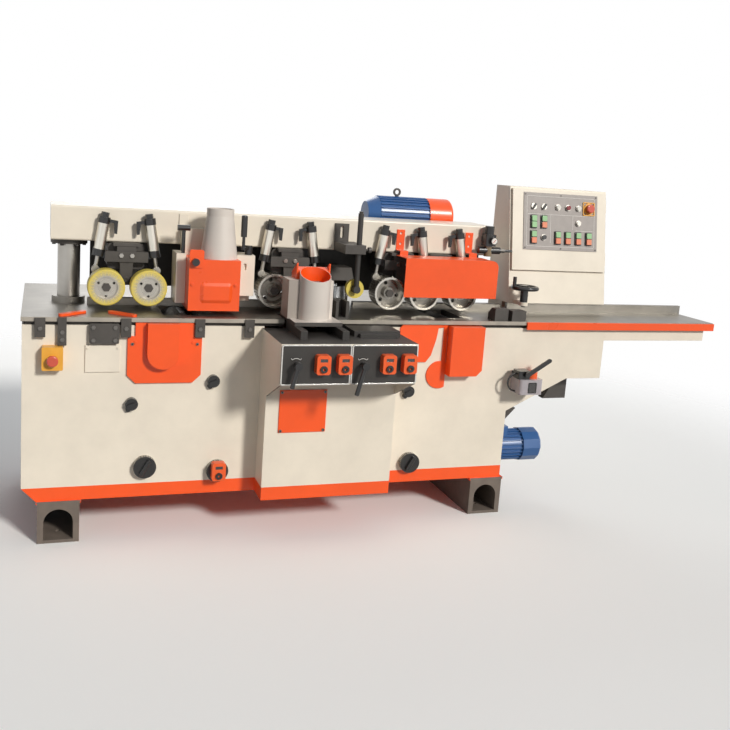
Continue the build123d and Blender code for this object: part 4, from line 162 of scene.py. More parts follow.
def ground_steel(name, colour, stretch, scale_mm=3.0, roughness=0.3):
    """Ground or planed steel: fine scratches that run along one axis, with brighter streaks.

    stretch gives the squeeze along X, Y and Z; a small number draws long streaks on that axis.
    """
    material, tree, coords = start_material(name)
    drawn = add_node(tree, "ShaderNodeMapping", {"Vector": coords, "Scale": stretch})
    scratches = noise(tree, drawn.outputs["Vector"], 1000 / scale_mm, 4.0, 0.7)
    clouds = noise(tree, coords, 9.0, 4.0)
    shader = add_node(tree, "ShaderNodeBsdfPrincipled", {
        "Base Color": blend_colours(tree, clouds, rgba(colour, 0.72), rgba(colour, 1.2)),
        "Metallic": 1.0, "Roughness": spread(tree, scratches, roughness - 0.1, roughness + 0.16),
        "Normal": relief(tree, scratches, 0.8, 0.12, 0.2)})
    end_material(tree, shader)
    return material


def turned_steel(name, colour, centre, pitch_mm=2.5, roughness=0.27):
    """Lathe-turned steel: fine rings about the turning axis, which runs along Y through centre."""
    material, tree, coords = start_material(name)
    moved = add_node(tree, "ShaderNodeMapping", {"Vector": coords,
                                                 "Location": (-centre.x, -centre.y, -centre.z)})
    # A scale of 314 / pitch gives one ring each pitch; at a tenth of it the rings show
    rings = add_node(tree, "ShaderNodeTexWave", {"Vector": moved.outputs["Vector"],
                                                 "Scale": 314 / pitch_mm / 10, "Distortion": 0.6,
                                                 "Detail": 2.0},
                     wave_type="RINGS", rings_direction="Y").outputs["Fac"]
    clouds = noise(tree, coords, 30.0, 3.0)
    bump = add_node(tree, "ShaderNodeBump", {"Strength": 0.15, "Distance": 0.15 * MM,
                                             "Height": rings})
    shader = add_node(tree, "ShaderNodeBsdfPrincipled", {
        "Base Color": blend_colours(tree, clouds, rgba(colour, 0.75), rgba(colour, 1.15)),
        "Metallic": 1.0, "Roughness": spread(tree, rings, roughness - 0.06, roughness + 0.1),
        "Normal": bump.outputs["Normal"]})
    end_material(tree, shader)
    return material


def moulded_plastic(name, colour, roughness=0.42, coat=0.0, grain_mm=1.2, clear=0.0):
    """Moulded plastic: coloured through, with a fine eroded grain that dulls its shine.

    clear lets light through, for a bottle's wall.
    """
    material, tree, coords = start_material(name)
    grain = noise(tree, coords, 1000 / grain_mm, 1.0)
    wear = noise(tree, coords, 40.0, 3.0)
    tone = blend_colours(tree, wear, rgba(colour, 0.86), rgba(colour, 1.1))
    shader = add_node(tree, "ShaderNodeBsdfPrincipled", {
        "Base Color": tone, "Roughness": roughness, "IOR": 1.49, "Transmission Weight": clear,
        "Coat Weight": coat, "Coat Roughness": 0.08, "Normal": relief(tree, grain, 1.0, 0.1, 0.15)})
    end_material(tree, shader)
    return material


def paint(node_name, default, *rules):
    """Give a CAD node its materials; each rule is a material and a test of a face's centre."""
    mesh = NODES[node_name].data
    mesh.materials.clear()
    mesh.materials.append(default)
    for material, _ in rules:
        mesh.materials.append(material)
    for face in mesh.polygons:
        centre = face.center
        face.material_index = 0
        for number, (_, test) in enumerate(rules, start=1):
            if test(centre, face.normal):
                face.material_index = number
                break


def middle(node_name):
    """Centre of a CAD node's box."""
    low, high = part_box(node_name)
    return (Vector(low) + Vector(high)) / 2


def off_axis(point, centre):
    """Distance of a point from a line along Y through centre."""
    return math.hypot(point.x - centre.x, point.z - centre.z)


def off_upright(point, centre):
    """Distance of a point from an upright line through centre."""
    return math.hypot(point.x - centre.x, point.y - centre.y)


def new_piece(name, mesh, body, slot, *materials):
    """Link a finished mesh as a piece that rides on a body."""
    piece = bpy.data.objects.new(name, mesh)
    bpy.context.scene.collection.objects.link(piece)
    for material in materials:
        mesh.materials.append(material)
    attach(piece, body)
    return piece


def colour_setting(title, description, hex_colour):
    """Colour property with its default."""
    return bpy.props.FloatVectorProperty(name=title, description=description, subtype="COLOR",
                                         size=3, min=0, max=1, default=linear(hex_colour))


def length_setting(title, description, low, high, default):
    """Length property in metres with its limits and default."""
    return bpy.props.FloatProperty(name=title, description=description, subtype="DISTANCE",
                                   unit="LENGTH", min=low, max=high, default=default)


class MoulderColours(bpy.types.PropertyGroup):
    cream: colour_setting("Cream enamel", "Cabinet, beam and electrical cabinet", "#EBE1D0")
    orange: colour_setting("Orange enamel", "Covers, guard, chip box and lower band", "#FA5816")
    chute_grey: colour_setting("Chute grey", "Dust chute and cone hood", "#D6CDC4")
    foot_grey: colour_setting("Foot grey", "Cast feet", "#6E635A")
    motor_blue: colour_setting("Motor blue", "Both motors", "#2A5A94")
    tyre_yellow: colour_setting("Tyre yellow", "Soft feed wheel tyres", "#D9C45A")


class MoulderSizes(bpy.types.PropertyGroup):
    screw_head: length_setting("Screw head", "Radius of the cover screws' heads",
                               0.002, 0.01, 0.0055)
    frame_width: length_setting("Panel frame", "Width of the bright frame round the console panel",
                                0.001, 0.01, 0.0045)
    band_top: length_setting("Band height", "Height of the orange band's upper edge",
                             0.1, 0.4, 0.214)


def colours():
    """The scene's colour settings."""
    return bpy.context.scene.moulder_colours


def sizes():
    """The scene's size settings."""
    return bpy.context.scene.moulder_sizes


def shared(name, maker, *values, **settings):
    """One copy of a material, made on first use."""
    return bpy.data.materials.get(name) or maker(name, *values, **settings)


def cream_enamel():
    return shared("cream_stoved_enamel", sprayed_enamel, tuple(colours().cream))


def orange_enamel():
    return shared("orange_stoved_enamel", sprayed_enamel, tuple(colours().orange), roughness=0.33)


def black_phenolic():
    # Pressed phenolic knobs: deep black with a polished skin
    return shared("black_pressed_phenolic", moulded_plastic, linear("#191818"), roughness=0.3,
                  coat=0.3)


def bright_ground_steel():
    return shared("bright_ground_steel", ground_steel, linear("#ABA7A0"), (1.0, 0.1, 1.0))


def blackened_steel():
    return shared("blackened_bolt_steel", ground_steel, linear("#6E6B67"), (1.0, 1.0, 1.0),
                  scale_mm=1.0, roughness=0.4)


def oiled_casting():
    return shared("oiled_iron_casting", cast_metal, linear("#4A4642"))


def white_ink():
    return shared("white_printing_ink", moulded_plastic, linear("#E8E6E0"), roughness=0.6)


class MOULDER_OT_sheet(bpy.types.Operator):
    """Paint the cabinet, feet, covers, hoods and the electrical cabinet"""

    bl_idname = "moulder.sheet"
    bl_label = "Sheet metal"

    def execute(self, context):
        cream = cream_enamel()
        orange = orange_enamel()
        two_tone = shared("cream_enamel_over_orange_band", sprayed_enamel, tuple(colours().cream),
                          band=tuple(colours().orange), band_top=sizes().band_top)
        grey = shared("grey_chute_enamel", sprayed_enamel, tuple(colours().chute_grey),
                      roughness=0.42)
        foot = shared("painted_cast_foot", cast_metal, tuple(colours().foot_grey), grain_mm=4.0,
                      roughness=0.6, metallic=0.0)
        dark = shared("black_wrinkle_enamel", cast_metal, linear("#2A2724"), grain_mm=1.6,
                      roughness=0.5, metallic=0.0)
        lip_height = 0.1519
        paint("base_cabinet", two_tone)
        paint("base_feet", foot, (orange, lambda c, n: c.z > lip_height))
        # The sheets that hang below the beam and behind its back are black: partly the dark parts
        # behind the feed works, partly painted shade behind the feed wheels
        sheet_front = 0.0702
        underside = 1.0965
        paint("beam", cream, (dark, lambda c, n: c.z < underside or c.y > sheet_front))
        # The locking knob stands on the head's front half
        head_top = 1.0755
        knob_back = -0.2
        paint("top_head", cream,
              (black_phenolic(), lambda c, n: c.z > head_top and c.y < knob_back))
        for name in ("electrical_cabinet", "electrical_door"):
            paint(name, cream)
        for name in ("left_cover", "belt_cover", "wheel_guard"):
            paint(name, orange)
        tab_front = -0.3442
        paint("chip_box", orange, (black_phenolic(), lambda c, n: c.y < tab_front))
        # Raised pocket pressed into the chip box's front
        width, height, corner = 122 * MM, 78 * MM, 15 * MM
        pocket = bridged([
            rounded_loop(width, height, corner, 12 * MM, 0),
            rounded_loop(width, height, corner, 0, 6 * MM),
            rounded_loop(width, height, corner, 0, 7 * MM)], closed=False)
        pocket.transform(Matrix.Translation((-0.319, -0.346, 0.937)))
        new_piece("chip_box_pocket", pocket, "top_head_group", "orange_paint", orange)
        # The hatch beside the left cover is cream, the other flat panels are orange
        hatch_right = -0.65
        paint("front_panels", orange, (cream, lambda c, n: c.x < hatch_right))
        deck_height = 0.8139
        paint("console_shelf", cream, (dark, lambda c, n: c.z > deck_height or n.z < -0.2))
        paint("console_panel", dark)
        paint("top_hood", grey)
        chute = Vector((0.036, -0.45, 0))
        slide_top = 0.8621
        # The shroud's left part beside the chute gets a darker copy of the chute grey: painted
        # shade on that side of the hood, which is the same paint as the rest
        shade = shared("smoke_grey_enamel", sprayed_enamel, linear("#A2988F"), roughness=0.42)
        chute_left = -0.0245
        chute_bore, chute_wall, mouth_top = 0.0585, 0.0605, 1.08
        shroud_side_top, shroud_top = 1.0095, 1.0101
        paint("left_head", grey,
              (shade, lambda c, n: c.x < chute_left and slide_top + MM < c.z < shroud_side_top),
              (oiled_casting(), lambda c, n: c.z < slide_top and n.z < 0.5),
              (orange, lambda c, n: off_upright(c, chute) < chute_bore and c.z < mouth_top),
              (orange, lambda c, n: c.z > shroud_top and off_upright(c, chute) > chute_wall))
        return {"FINISHED"}


class MOULDER_OT_bed(bpy.types.Operator):
    """Finish the bed table, fence, brackets and infeed table"""

    bl_idname = "moulder.bed"
    bl_label = "Bed and tables"

    def execute(self, context):
        planed = shared("planed_table_iron", ground_steel, linear("#8F8B84"), (0.06, 1.0, 1.0),
                        scale_mm=4.0, roughness=0.36)
        casting = oiled_casting()
        steel = bright_ground_steel()
        orange = orange_enamel()
        cream = cream_enamel()
        edge = shared("painted_table_edge", cast_metal, linear("#A79F93"), grain_mm=2.0,
                      metallic=0.1)
        top, edge_low = 0.8499, 0.833
        paint("bed_table", casting, (planed, lambda c, n: c.z > top),
              (edge, lambda c, n: edge_low < c.z < top and abs(n.y) > 0.5))
        fence_top = 0.8805
        paint("rear_fence", planed, (casting, lambda c, n: c.z > fence_top))
        # Two orange stops lie flat on the table at its outfeed end
        stop_low, stop_top, stop_right = 0.8501, 0.8595, -0.55
        bolt_front = -0.4105
        paint("table_brackets", casting,
              (orange, lambda c, n: stop_low < c.z < stop_top and -0.4 < c.y < -0.28
               and c.x < stop_right),
              (blackened_steel(), lambda c, n: c.y < bolt_front))
        edge_back = -0.4021
        channel_top = 0.8419
        paint("infeed_table", planed, (orange, lambda c, n: c.y < edge_back),
              (cream, lambda c, n: c.z < channel_top and c.y > edge_back))
        paint("under_bed_rail", casting)
        head_plate = 1.0695
        paint("lift_columns", steel, (casting, lambda c, n: c.z > head_plate))
        return {"FINISHED"}


class MOULDER_OT_feed_works(bpy.types.Operator):
    """Finish the feed wheels, carriers, brackets, air cylinders and press roller"""

    bl_idname = "moulder.feed_works"
    bl_label = "Feed works"

    def execute(self, context):
        casting = oiled_casting()
        steel = bright_ground_steel()
        tube = shared("drawn_aluminium_tube", ground_steel, linear("#DAD5C9"), (1.0, 1.0, 0.08),
                      scale_mm=2.0, roughness=0.28)
        black = black_phenolic()
        # Cast polyurethane: waxy and slightly see-through, so it looks soft at its rims
        tyre = shared("cast_polyurethane_tyre", moulded_plastic, tuple(colours().tyre_yellow),
                      roughness=0.38, coat=0.15, grain_mm=3.0)
        hub_radius = 0.0495
        web_radius = 0.054
        rod_low = 1.011
        rim = shared("polished_wheel_rim", ground_steel, linear("#C6C1B7"), (1.0, 1.0, 1.0),
                     scale_mm=1.5, roughness=0.22)
        for number in range(1, 8):
            name = f"feed_wheel_{number}"
            centre = middle(name)
            disc_colour = linear("#B7B1A6" if number < 3 else "#8B867E")
            turned = shared(f"turned_steel_wheel_{number}", turned_steel, disc_colour, centre)
            if number < 3:
                paint(name, turned, (tyre, lambda c, n, o=centre: off_axis(c, o) > hub_radius))
            else:
                paint(name, turned, (rim, lambda c, n, o=centre: off_axis(c, o) > web_radius))
            # The nut in front and the strut behind are castings, the axle and the rod are steel
            carrier = f"feed_carrier_{number}"
            low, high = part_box(carrier)
            nut_back, strut_front = low[1] + 9 * MM, high[1] - 24.1 * MM
            paint(carrier, casting,
                  (casting, lambda c, n, f=nut_back: c.y < f),
                  (steel, lambda c, n, f=strut_front: c.y < f or c.z > rod_low))
        plate_front = -0.1801
        paint("feed_brackets", casting, (steel, lambda c, n: c.y < plate_front))
        tube_low, tube_high, tube_radius = 79.1 * MM, 177.9 * MM, 21.6 * MM
        feet = self.rod_feet()

        def on_tube(centre, normal):
            """Whether a face lies on the bare tube of the nearest cylinder."""
            foot, lean = min(feet, key=lambda f: abs(centre.x - f[0].x + 0.1 * (centre.z - 1.0)
                                                     * f[2]))[:2]
            along = (centre - foot).dot(lean)
            out = ((centre - foot) - lean * along).length
            return tube_low < along < tube_high and out < tube_radius

        paint("air_cylinders", black, (tube, on_tube))
        bowl = shared("smoky_polycarbonate_bowl", moulded_plastic, linear("#8F7D58"),
                      roughness=0.15, coat=0.6, clear=0.25)
        stem = Vector((0.897, -0.172, 0))
        bowl_bottom, bowl_top = 1.0985, 1.1439
        nut_left, nut_right = 0.9529, 0.9775
        paint("air_regulator", black,
              (blackened_steel(), lambda c, n: nut_left < c.x < nut_right),
              (bowl, lambda c, n: c.z < bowl_top and 0.0155 < off_upright(c, stem) < 0.0176),
              (bowl, lambda c, n: c.z < bowl_bottom))
        block_right = 0.3305
        paint("press_bracket", casting, (steel, lambda c, n: c.x > block_right))
        dark = bpy.data.materials["black_wrinkle_enamel"]
        axle_front = -0.262
        paint("press_bar", dark, (steel, lambda c, n: c.z < 0.9 or c.y > axle_front))
        roller = middle("press_wheel")
        roller_hub = 0.0165
        paint("press_wheel", black, (tyre, lambda c, n: off_axis(c, roller) > roller_hub))
        return {"FINISHED"}

    def rod_feet(self):
        """Foot, leaning direction and hand of each air cylinder's rod."""
        lean = math.radians(9)
        places = []
        pair = (-1, 1)
        for centre_x, hands in ((-0.637, pair), (0.006, pair), (0.497, pair), (0.674, (1,))):
            for hand in hands:
                foot = Vector((centre_x + hand * 0.114, -0.165, 0.994))
                axis = Vector((-hand * math.sin(lean), 0, math.cos(lean)))
                places.append((foot, axis, hand))
        return places


class MOULDER_OT_cutters(bpy.types.Operator):
    """Finish the five cutter spindles"""

    bl_idname = "moulder.cutters"
    bl_label = "Cutter spindles"

    def execute(self, context):
        honed = shared("honed_cutter_steel", ground_steel, linear("#A9ABAD"), (1.0, 1.0, 1.0),
                       scale_mm=1.5, roughness=0.25)
        for name in ("bottom_spindle_infeed", "bottom_spindle_outfeed", "top_spindle",
                     "right_spindle", "left_spindle"):
            paint(name, honed)
        return {"FINISHED"}


class MOULDER_OT_controls(bpy.types.Operator):
    """Finish counters, levers, knobs, stop buttons, control plate, crank and handwheel"""

    bl_idname = "moulder.controls"
    bl_label = "Controls"

    def execute(self, context):
        black = black_phenolic()
        steel = bright_ground_steel()
        orange_case = shared("orange_moulded_case", moulded_plastic, linear("#F0602A"))
        window = shared("smoked_counter_window", moulded_plastic, linear("#2A2624"),
                        roughness=0.12, coat=1.0)
        red = shared("red_moulded_button", moulded_plastic, linear("#CF4E34"), roughness=0.25,
                     coat=0.5)
        green = shared("green_moulded_button", moulded_plastic, linear("#9CCB94"), roughness=0.25,
                       coat=0.4)
        coral = shared("coral_moulded_button", moulded_plastic, linear("#EE8F6A"), roughness=0.25,
                       coat=0.4)
        lamp = shared("dark_red_lamp_lens", moulded_plastic, linear("#8A2A30"), roughness=0.15,
                      coat=0.8)
        yellow = shared("yellow_moulded_box", moulded_plastic, linear("#EAAA3E"), roughness=0.35)
        white = shared("milky_lamp_lens", moulded_plastic, linear("#E9E6DC"), roughness=0.2,
                       coat=0.6)
        # Anodised plate: matt silver with a slight warm cast
        plate = shared("anodised_control_plate", moulded_plastic, linear("#A09893"),
                       roughness=0.45, grain_mm=0.8)
        bottle = shared("milky_oil_bottle", moulded_plastic, linear("#CBC3C8"), roughness=0.25,
                        coat=0.4, clear=0.35)
        for name in ("clamp_lever_left", "clamp_lever_right", "crank_handle", "handwheel",
                     "pump_lever"):
            paint(name, black)
        # Knobs and the disc counter below this height sit on the cabinet, the rest on the console
        low_row = 0.4
        collar_front = -0.3985
        paint("setting_knobs", black,
              (steel, lambda c, n: c.y > collar_front and c.z < low_row))
        paint("estop_box", yellow)
        for name in ("estop_button_left", "estop_button_right"):
            paint(name, red)
        knob_back, window_front, window_back = -0.7272, -0.7261, -0.7246
        disc_knob_back, disc_window_front, disc_window_back = -0.4471, -0.4462, -0.4445
        paint("position_counters", orange_case,
              (black, lambda c, n: c.y < knob_back or (c.z < low_row and c.y < disc_knob_back)),
              (window, lambda c, n: n.y < -0.5 and (
                  window_front < c.y < window_back
                  or disc_window_front < c.y < disc_window_back)))
        block_right, bottle_top, lid_right = 0.9435, 0.6165, 0.9995
        paint("oil_pump", bottle,
              (black, lambda c, n: c.x < block_right or (c.z > bottle_top and c.x < lid_right)),
              (orange_case, lambda c, n: c.z > bottle_top))
        self.paint_plate(plate, black, lamp, green, coral, white, steel, yellow)
        return {"FINISHED"}

    def paint_plate(self, plate, black, lamp, green, coral, white, steel, yellow):
        """Colour each button of the control plate by its column and row."""
        low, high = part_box("control_plate")
        width = high[0] - low[0]
        caps = {(2, 0): white, (3, 0): lamp, (4, 0): white, (4, 1): steel, (1, 2): black}
        doubles = {(0, 1), (1, 1), (0, 2), (2, 2), (3, 2), (4, 2), (5, 2)}
        materials = [plate, black, lamp, green, coral, white, steel, yellow]
        mesh = NODES["control_plate"].data
        mesh.materials.clear()
        for material in materials:
            mesh.materials.append(material)
        to_plate = plate_frame().inverted()
        # Heights in mm above the plate: its own skin, and the bezels that the caps stand out of
        skin, bezel = 0.2, 5.2
        for face in mesh.polygons:
            place = to_plate @ face.center
            height = -place.y / MM
            across = (place.x + width / 2) / MM
            down = PLATE_HEIGHT / 2 - place.z / MM
            column = min(range(6), key=lambda i: abs(across - PLATE_COLUMNS[i]))
            row = min(range(3), key=lambda i: abs(down - PLATE_ROWS[i]))
            chosen = black
            if height < skin:
                chosen = plate
            elif (column, row) == (5, 0):
                chosen = yellow
            elif height > bezel:
                chosen = caps.get((column, row), chosen)
                if (column, row) in doubles:
                    upper = down < PLATE_ROWS[row] or (column, row) == (0, 1)
                    chosen = green if upper else coral
            elif (column, row) not in doubles:
                chosen = steel
            face.material_index = materials.index(chosen)


PLATE_HEIGHT = 256
PLATE_COLUMNS = (50, 102, 174, 226, 281, 336)
PLATE_ROWS = (62, 130, 200)
PLATE_LEAN = math.atan2(87, 515)


def plate_frame():
    """Matrix from the control plate's own axes to the frame.

    Its X runs to the right, its Z up the leaning plate and its Y into the door; the origin is the
    middle of the plate's front.
    """
    out = Vector((0, -math.cos(PLATE_LEAN), math.sin(PLATE_LEAN)))
    up = Vector((0, math.sin(PLATE_LEAN), math.cos(PLATE_LEAN)))
    points = [Vector(v.co) for v in NODES["control_plate"].data.vertices]
    low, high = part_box("control_plate")
    top = max(up.dot(p) for p in points)
    back = min(out.dot(p) for p in points)
    middle_up = top - PLATE_HEIGHT / 2 * MM
    origin = up * middle_up + out * (back + 3 * MM)
    origin.x = (low[0] + high[0]) / 2
    return Matrix.Translation(origin) @ Matrix(((1, 0, 0), -out, up)).transposed().to_4x4()


class MOULDER_OT_motors(bpy.types.Operator):
    """Finish both motors"""

    bl_idname = "moulder.motors"
    bl_label = "Motors"

    def execute(self, context):
        blue = shared("blue_motor_enamel", sprayed_enamel, tuple(colours().motor_blue),
                      roughness=0.34)
        orange = orange_enamel()
        casting = oiled_casting()
        cowl_start = 0.7249
        beam_back = 0.0701
        eye_foot = 1.3225
        shelf_top = 1.155
        paint("top_motor", blue, (casting, lambda c, n: c.z > eye_foot),
              (orange, lambda c, n: c.x > cowl_start and c.z > shelf_top - 0.5 * MM),
              (casting, lambda c, n: c.z < shelf_top or c.y < beam_back + 10 * MM))
        paint("lower_motor", blue)
        return {"FINISHED"}


def screw_tree(name, material, recess):
    """Geometry Nodes tree: a button-head socket screw on every point, along the point's normal."""
    tree = bpy.data.node_groups.new(name, "GeometryNodeTree")
    tree.interface.new_socket("Geometry", in_out="INPUT", socket_type="NodeSocketGeometry")
    radius = tree.interface.new_socket("Head radius", in_out="INPUT", socket_type="NodeSocketFloat")
    height = tree.interface.new_socket("Head height", in_out="INPUT", socket_type="NodeSocketFloat")
    tree.interface.new_socket("Geometry", in_out="OUTPUT", socket_type="NodeSocketGeometry")
    entry = add_node(tree, "NodeGroupInput")
    half = add_node(tree, "ShaderNodeMath", {0: entry.outputs["Head radius"], 1: 0.55},
                    operation="MULTIPLY")
    lifted = add_node(tree, "ShaderNodeMath", {0: entry.outputs["Head height"], 1: 1.04},
                      operation="MULTIPLY")
    head = add_node(tree, "GeometryNodeMeshCone", {
        "Vertices": 20, "Radius Top": entry.outputs["Head radius"],
        "Radius Bottom": entry.outputs["Head radius"], "Depth": entry.outputs["Head height"]})
    head_paint = add_node(tree, "GeometryNodeSetMaterial", {"Geometry": head.outputs["Mesh"],
                                                            "Material": material})
    socket = add_node(tree, "GeometryNodeMeshCone", {
        "Vertices": 6, "Radius Top": half.outputs[0], "Radius Bottom": half.outputs[0],
        "Depth": lifted.outputs[0]})
    socket_paint = add_node(tree, "GeometryNodeSetMaterial", {"Geometry": socket.outputs["Mesh"],
                                                              "Material": recess})
    joined = add_node(tree, "GeometryNodeJoinGeometry")
    tree.links.new(head_paint.outputs[0], joined.inputs[0])
    tree.links.new(socket_paint.outputs[0], joined.inputs[0])
    normal = add_node(tree, "GeometryNodeInputNamedAttribute", {"Name": "facing"},
                      data_type="FLOAT_VECTOR")
    turn = add_node(tree, "FunctionNodeAlignEulerToVector",
                    {"Vector": normal.outputs["Attribute"]}, axis="Z")
    placed = add_node(tree, "GeometryNodeInstanceOnPoints", {
        "Points": entry.outputs["Geometry"], "Instance": joined.outputs[0],
        "Rotation": turn.outputs["Rotation"]})
    real = add_node(tree, "GeometryNodeRealizeInstances", {"Geometry": placed.outputs[0]})
    add_node(tree, "NodeGroupOutput", {"Geometry": real.outputs[0]})
    return tree, radius.identifier, height.identifier


def place_screws(name, body, slot, points, facing, radius, height, material, recess):
    """Screws at the points, facing one way, made into one plain mesh that rides on a body."""
    mesh = bpy.data.meshes.new(name + "_points")
    mesh.from_pydata([Vector(p) for p in points], [], [])
    attribute = mesh.attributes.new("facing", "FLOAT_VECTOR", "POINT")
    for item in attribute.data:
        item.vector = facing
    carrier = bpy.data.objects.new(name + "_points", mesh)
    bpy.context.scene.collection.objects.link(carrier)
    tree, radius_id, height_id = screw_tree(name + "_tree", material, recess)
    modifier = carrier.modifiers.new("Screws", "NODES")
    modifier.node_group = tree
    modifier[radius_id] = radius
    modifier[height_id] = height
    graph = bpy.context.evaluated_depsgraph_get()
    graph.update()
    real = bpy.data.meshes.new_from_object(carrier.evaluated_get(graph))
    bpy.data.objects.remove(carrier)
    real.name = name
    return new_piece(name, real, body, slot)


class MOULDER_OT_screws(bpy.types.Operator):
    """Place the cover, panel and control plate screws"""

    bl_idname = "moulder.screws"
    bl_label = "Screws"

    def execute(self, context):
        zinc = blackened_steel()
        recess = shared("screw_socket_shadow", moulded_plastic, linear("#0C0C0C"), roughness=0.8)
        front = Vector((0, -1, 0))
        radius = sizes().screw_head
        height = 0.004

        def on_front(node_name, places):
            """Points on the front of a node, found by looking at it along +Y."""
            found = []
            for x, z in places:
                hit, place, _, _ = NODES[node_name].ray_cast((x * MM, -3, z * MM), (0, 1, 0))
                if not hit:
                    raise ValueError(f"no front of {node_name} at {x}, {z}")
                found.append(place)
            return found

        left = on_front("left_cover", [(-628, 752), (-392, 752)])
        panel = on_front("front_panels", [(-84, 589), (86, 589), (-84, 438), (86, 438)])
        for name, points in (("left_cover_screws", left), ("panel_screws", panel)):
            place_screws(name, "base", "casting", points, front, radius, height, zinc, recess)
        place_screws("plate_screws", "door", "casting", self.plate_points(),
                     plate_frame().to_3x3() @ front, radius * 0.7, height * 0.6, zinc, recess)
        return {"FINISHED"}

    def plate_points(self):
        """Corner and middle screws of the control plate."""
        low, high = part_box("control_plate")
        across = (high[0] - low[0]) / 2 - 8 * MM
        up = (PLATE_HEIGHT / 2 - 8) * MM
        places = [(-across, -up), (0, -up), (across, -up), (-across, up), (0, up), (across, up)]
        return [plate_frame() @ Vector((x, 0, z)) for x, z in places]


def rounded_loop(width, height, corner, inset, y):
    """Points of a rounded rectangle in the XZ plane at depth y, drawn in by the inset."""
    radius = max(corner - inset, 0.3 * MM)
    points = []
    for cx, cz, start in ((1, 1, 0), (-1, 1, 90), (-1, -1, 180), (1, -1, 270)):
        for step in range(7):
            angle = math.radians(start + 15 * step)
            x = cx * (width / 2 - inset - radius) + radius * math.cos(angle)
            z = cz * (height / 2 - inset - radius) + radius * math.sin(angle)
            points.append((x, y, z))
    return points


def bridged(loops, closed):
    """Mesh between loops of points, closed on itself or with a cap at each end."""
    shape = bmesh.new()
    rows = [[shape.verts.new(p) for p in loop] for loop in loops]
    pairs = list(zip(rows, rows[1:]))
    if closed:
        pairs.append((rows[-1], rows[0]))
    else:
        shape.faces.new(rows[0])
        shape.faces.new(rows[-1])
    for first, second in pairs:
        for i in range(len(first)):
            j = (i + 1) % len(first)
            shape.faces.new((first[i], second[i], second[j], first[j]))
    bmesh.ops.recalc_face_normals(shape, faces=shape.faces)
    mesh = bpy.data.meshes.new("piece")
    shape.to_mesh(mesh)
    shape.free()
    return mesh


def ring_frame(width, height, corner, thickness, depth):
    """Rounded rectangular frame in the XZ plane, centred on the origin, running to the back."""
    return bridged([
        rounded_loop(width, height, corner, 0, 0.2 * MM),
        rounded_loop(width, height, corner, 0.2 * MM, 0),
        rounded_loop(width, height, corner, thickness - 0.2 * MM, 0),
        rounded_loop(width, height, corner, thickness, 0.2 * MM),
        rounded_loop(width, height, corner, thickness, depth),
        rounded_loop(width, height, corner, 0, depth)], closed=True)


def slab(width, height, corner, depth, bevel):
    """Rounded plate in the XZ plane with a bevelled front, running to the back."""
    return bridged([
        rounded_loop(width, height, corner, bevel, 0),
        rounded_loop(width, height, corner, 0, bevel),
        rounded_loop(width, height, corner, 0, depth)], closed=False)


def arc_strip(radius, width, start, end, depth):
    """Printed arc in the XZ plane about the origin; the angles run up from +X in degrees."""
    steps = 16
    sections = []
    for step in range(steps + 1):
        angle = math.radians(start + (end - start) * step / steps)
        along = Vector((math.cos(angle), 0, math.sin(angle)))
        inner, outer = along * (radius - width / 2), along * (radius + width / 2)
        back = Vector((0, depth, 0))
        sections.append([inner, outer, outer + back, inner + back])
    return bridged(sections, closed=False)


def merged(meshes):
    """One mesh from several that share a material."""
    shape = bmesh.new()
    for mesh in meshes:
        shape.from_mesh(mesh)
    result = bpy.data.meshes.new("piece")
    shape.to_mesh(result)
    shape.free()
    return result


class MOULDER_OT_console(bpy.types.Operator):
    """Add the bright frames and setting marks of the console panel"""

    bl_idname = "moulder.console"
    bl_label = "Console"

    def execute(self, context):
        chrome = shared("bright_panel_trim", ground_steel, linear("#D8D6D0"), (1.0, 1.0, 1.0),
                        scale_mm=2.0, roughness=0.25)
        low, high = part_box("console_panel")
        joint = 0.118
        spans = ((low[0], joint - MM), (joint + MM, high[0]))
        height = high[2] - low[2]
        for number, (start, end) in enumerate(spans, start=1):
            mesh = ring_frame(end - start, height, 9 * MM, sizes().frame_width, 2.2 * MM)
            place = Vector(((start + end) / 2, low[1] - 1.4 * MM, (low[2] + high[2]) / 2))
            mesh.transform(Matrix.Translation(place))
            new_piece(f"console_frame_{number}", mesh, "base", "aluminium_tube", chrome)
        # White index arcs above both clamp levers, with a tick at each end
        ink = white_ink()
        arcs = []
        for lever in ("clamp_lever_left", "clamp_lever_right"):
            start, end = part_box(lever)
            pivot = Vector((end[0] - 14 * MM, low[1] - 0.3 * MM, end[2] - 14 * MM))
            for radius, width, first, last in ((21, 1.8, 48, 132), (24, 8, 46, 50),
                                               (24, 8, 130, 134)):
                arc = arc_strip(radius * MM, width * MM, first, last, 0.5 * MM)
                arc.transform(Matrix.Translation(pivot))
                arcs.append(arc)
        new_piece("lever_index_marks", merged(arcs), "base", "aluminium_tube", ink)
        return {"FINISHED"}


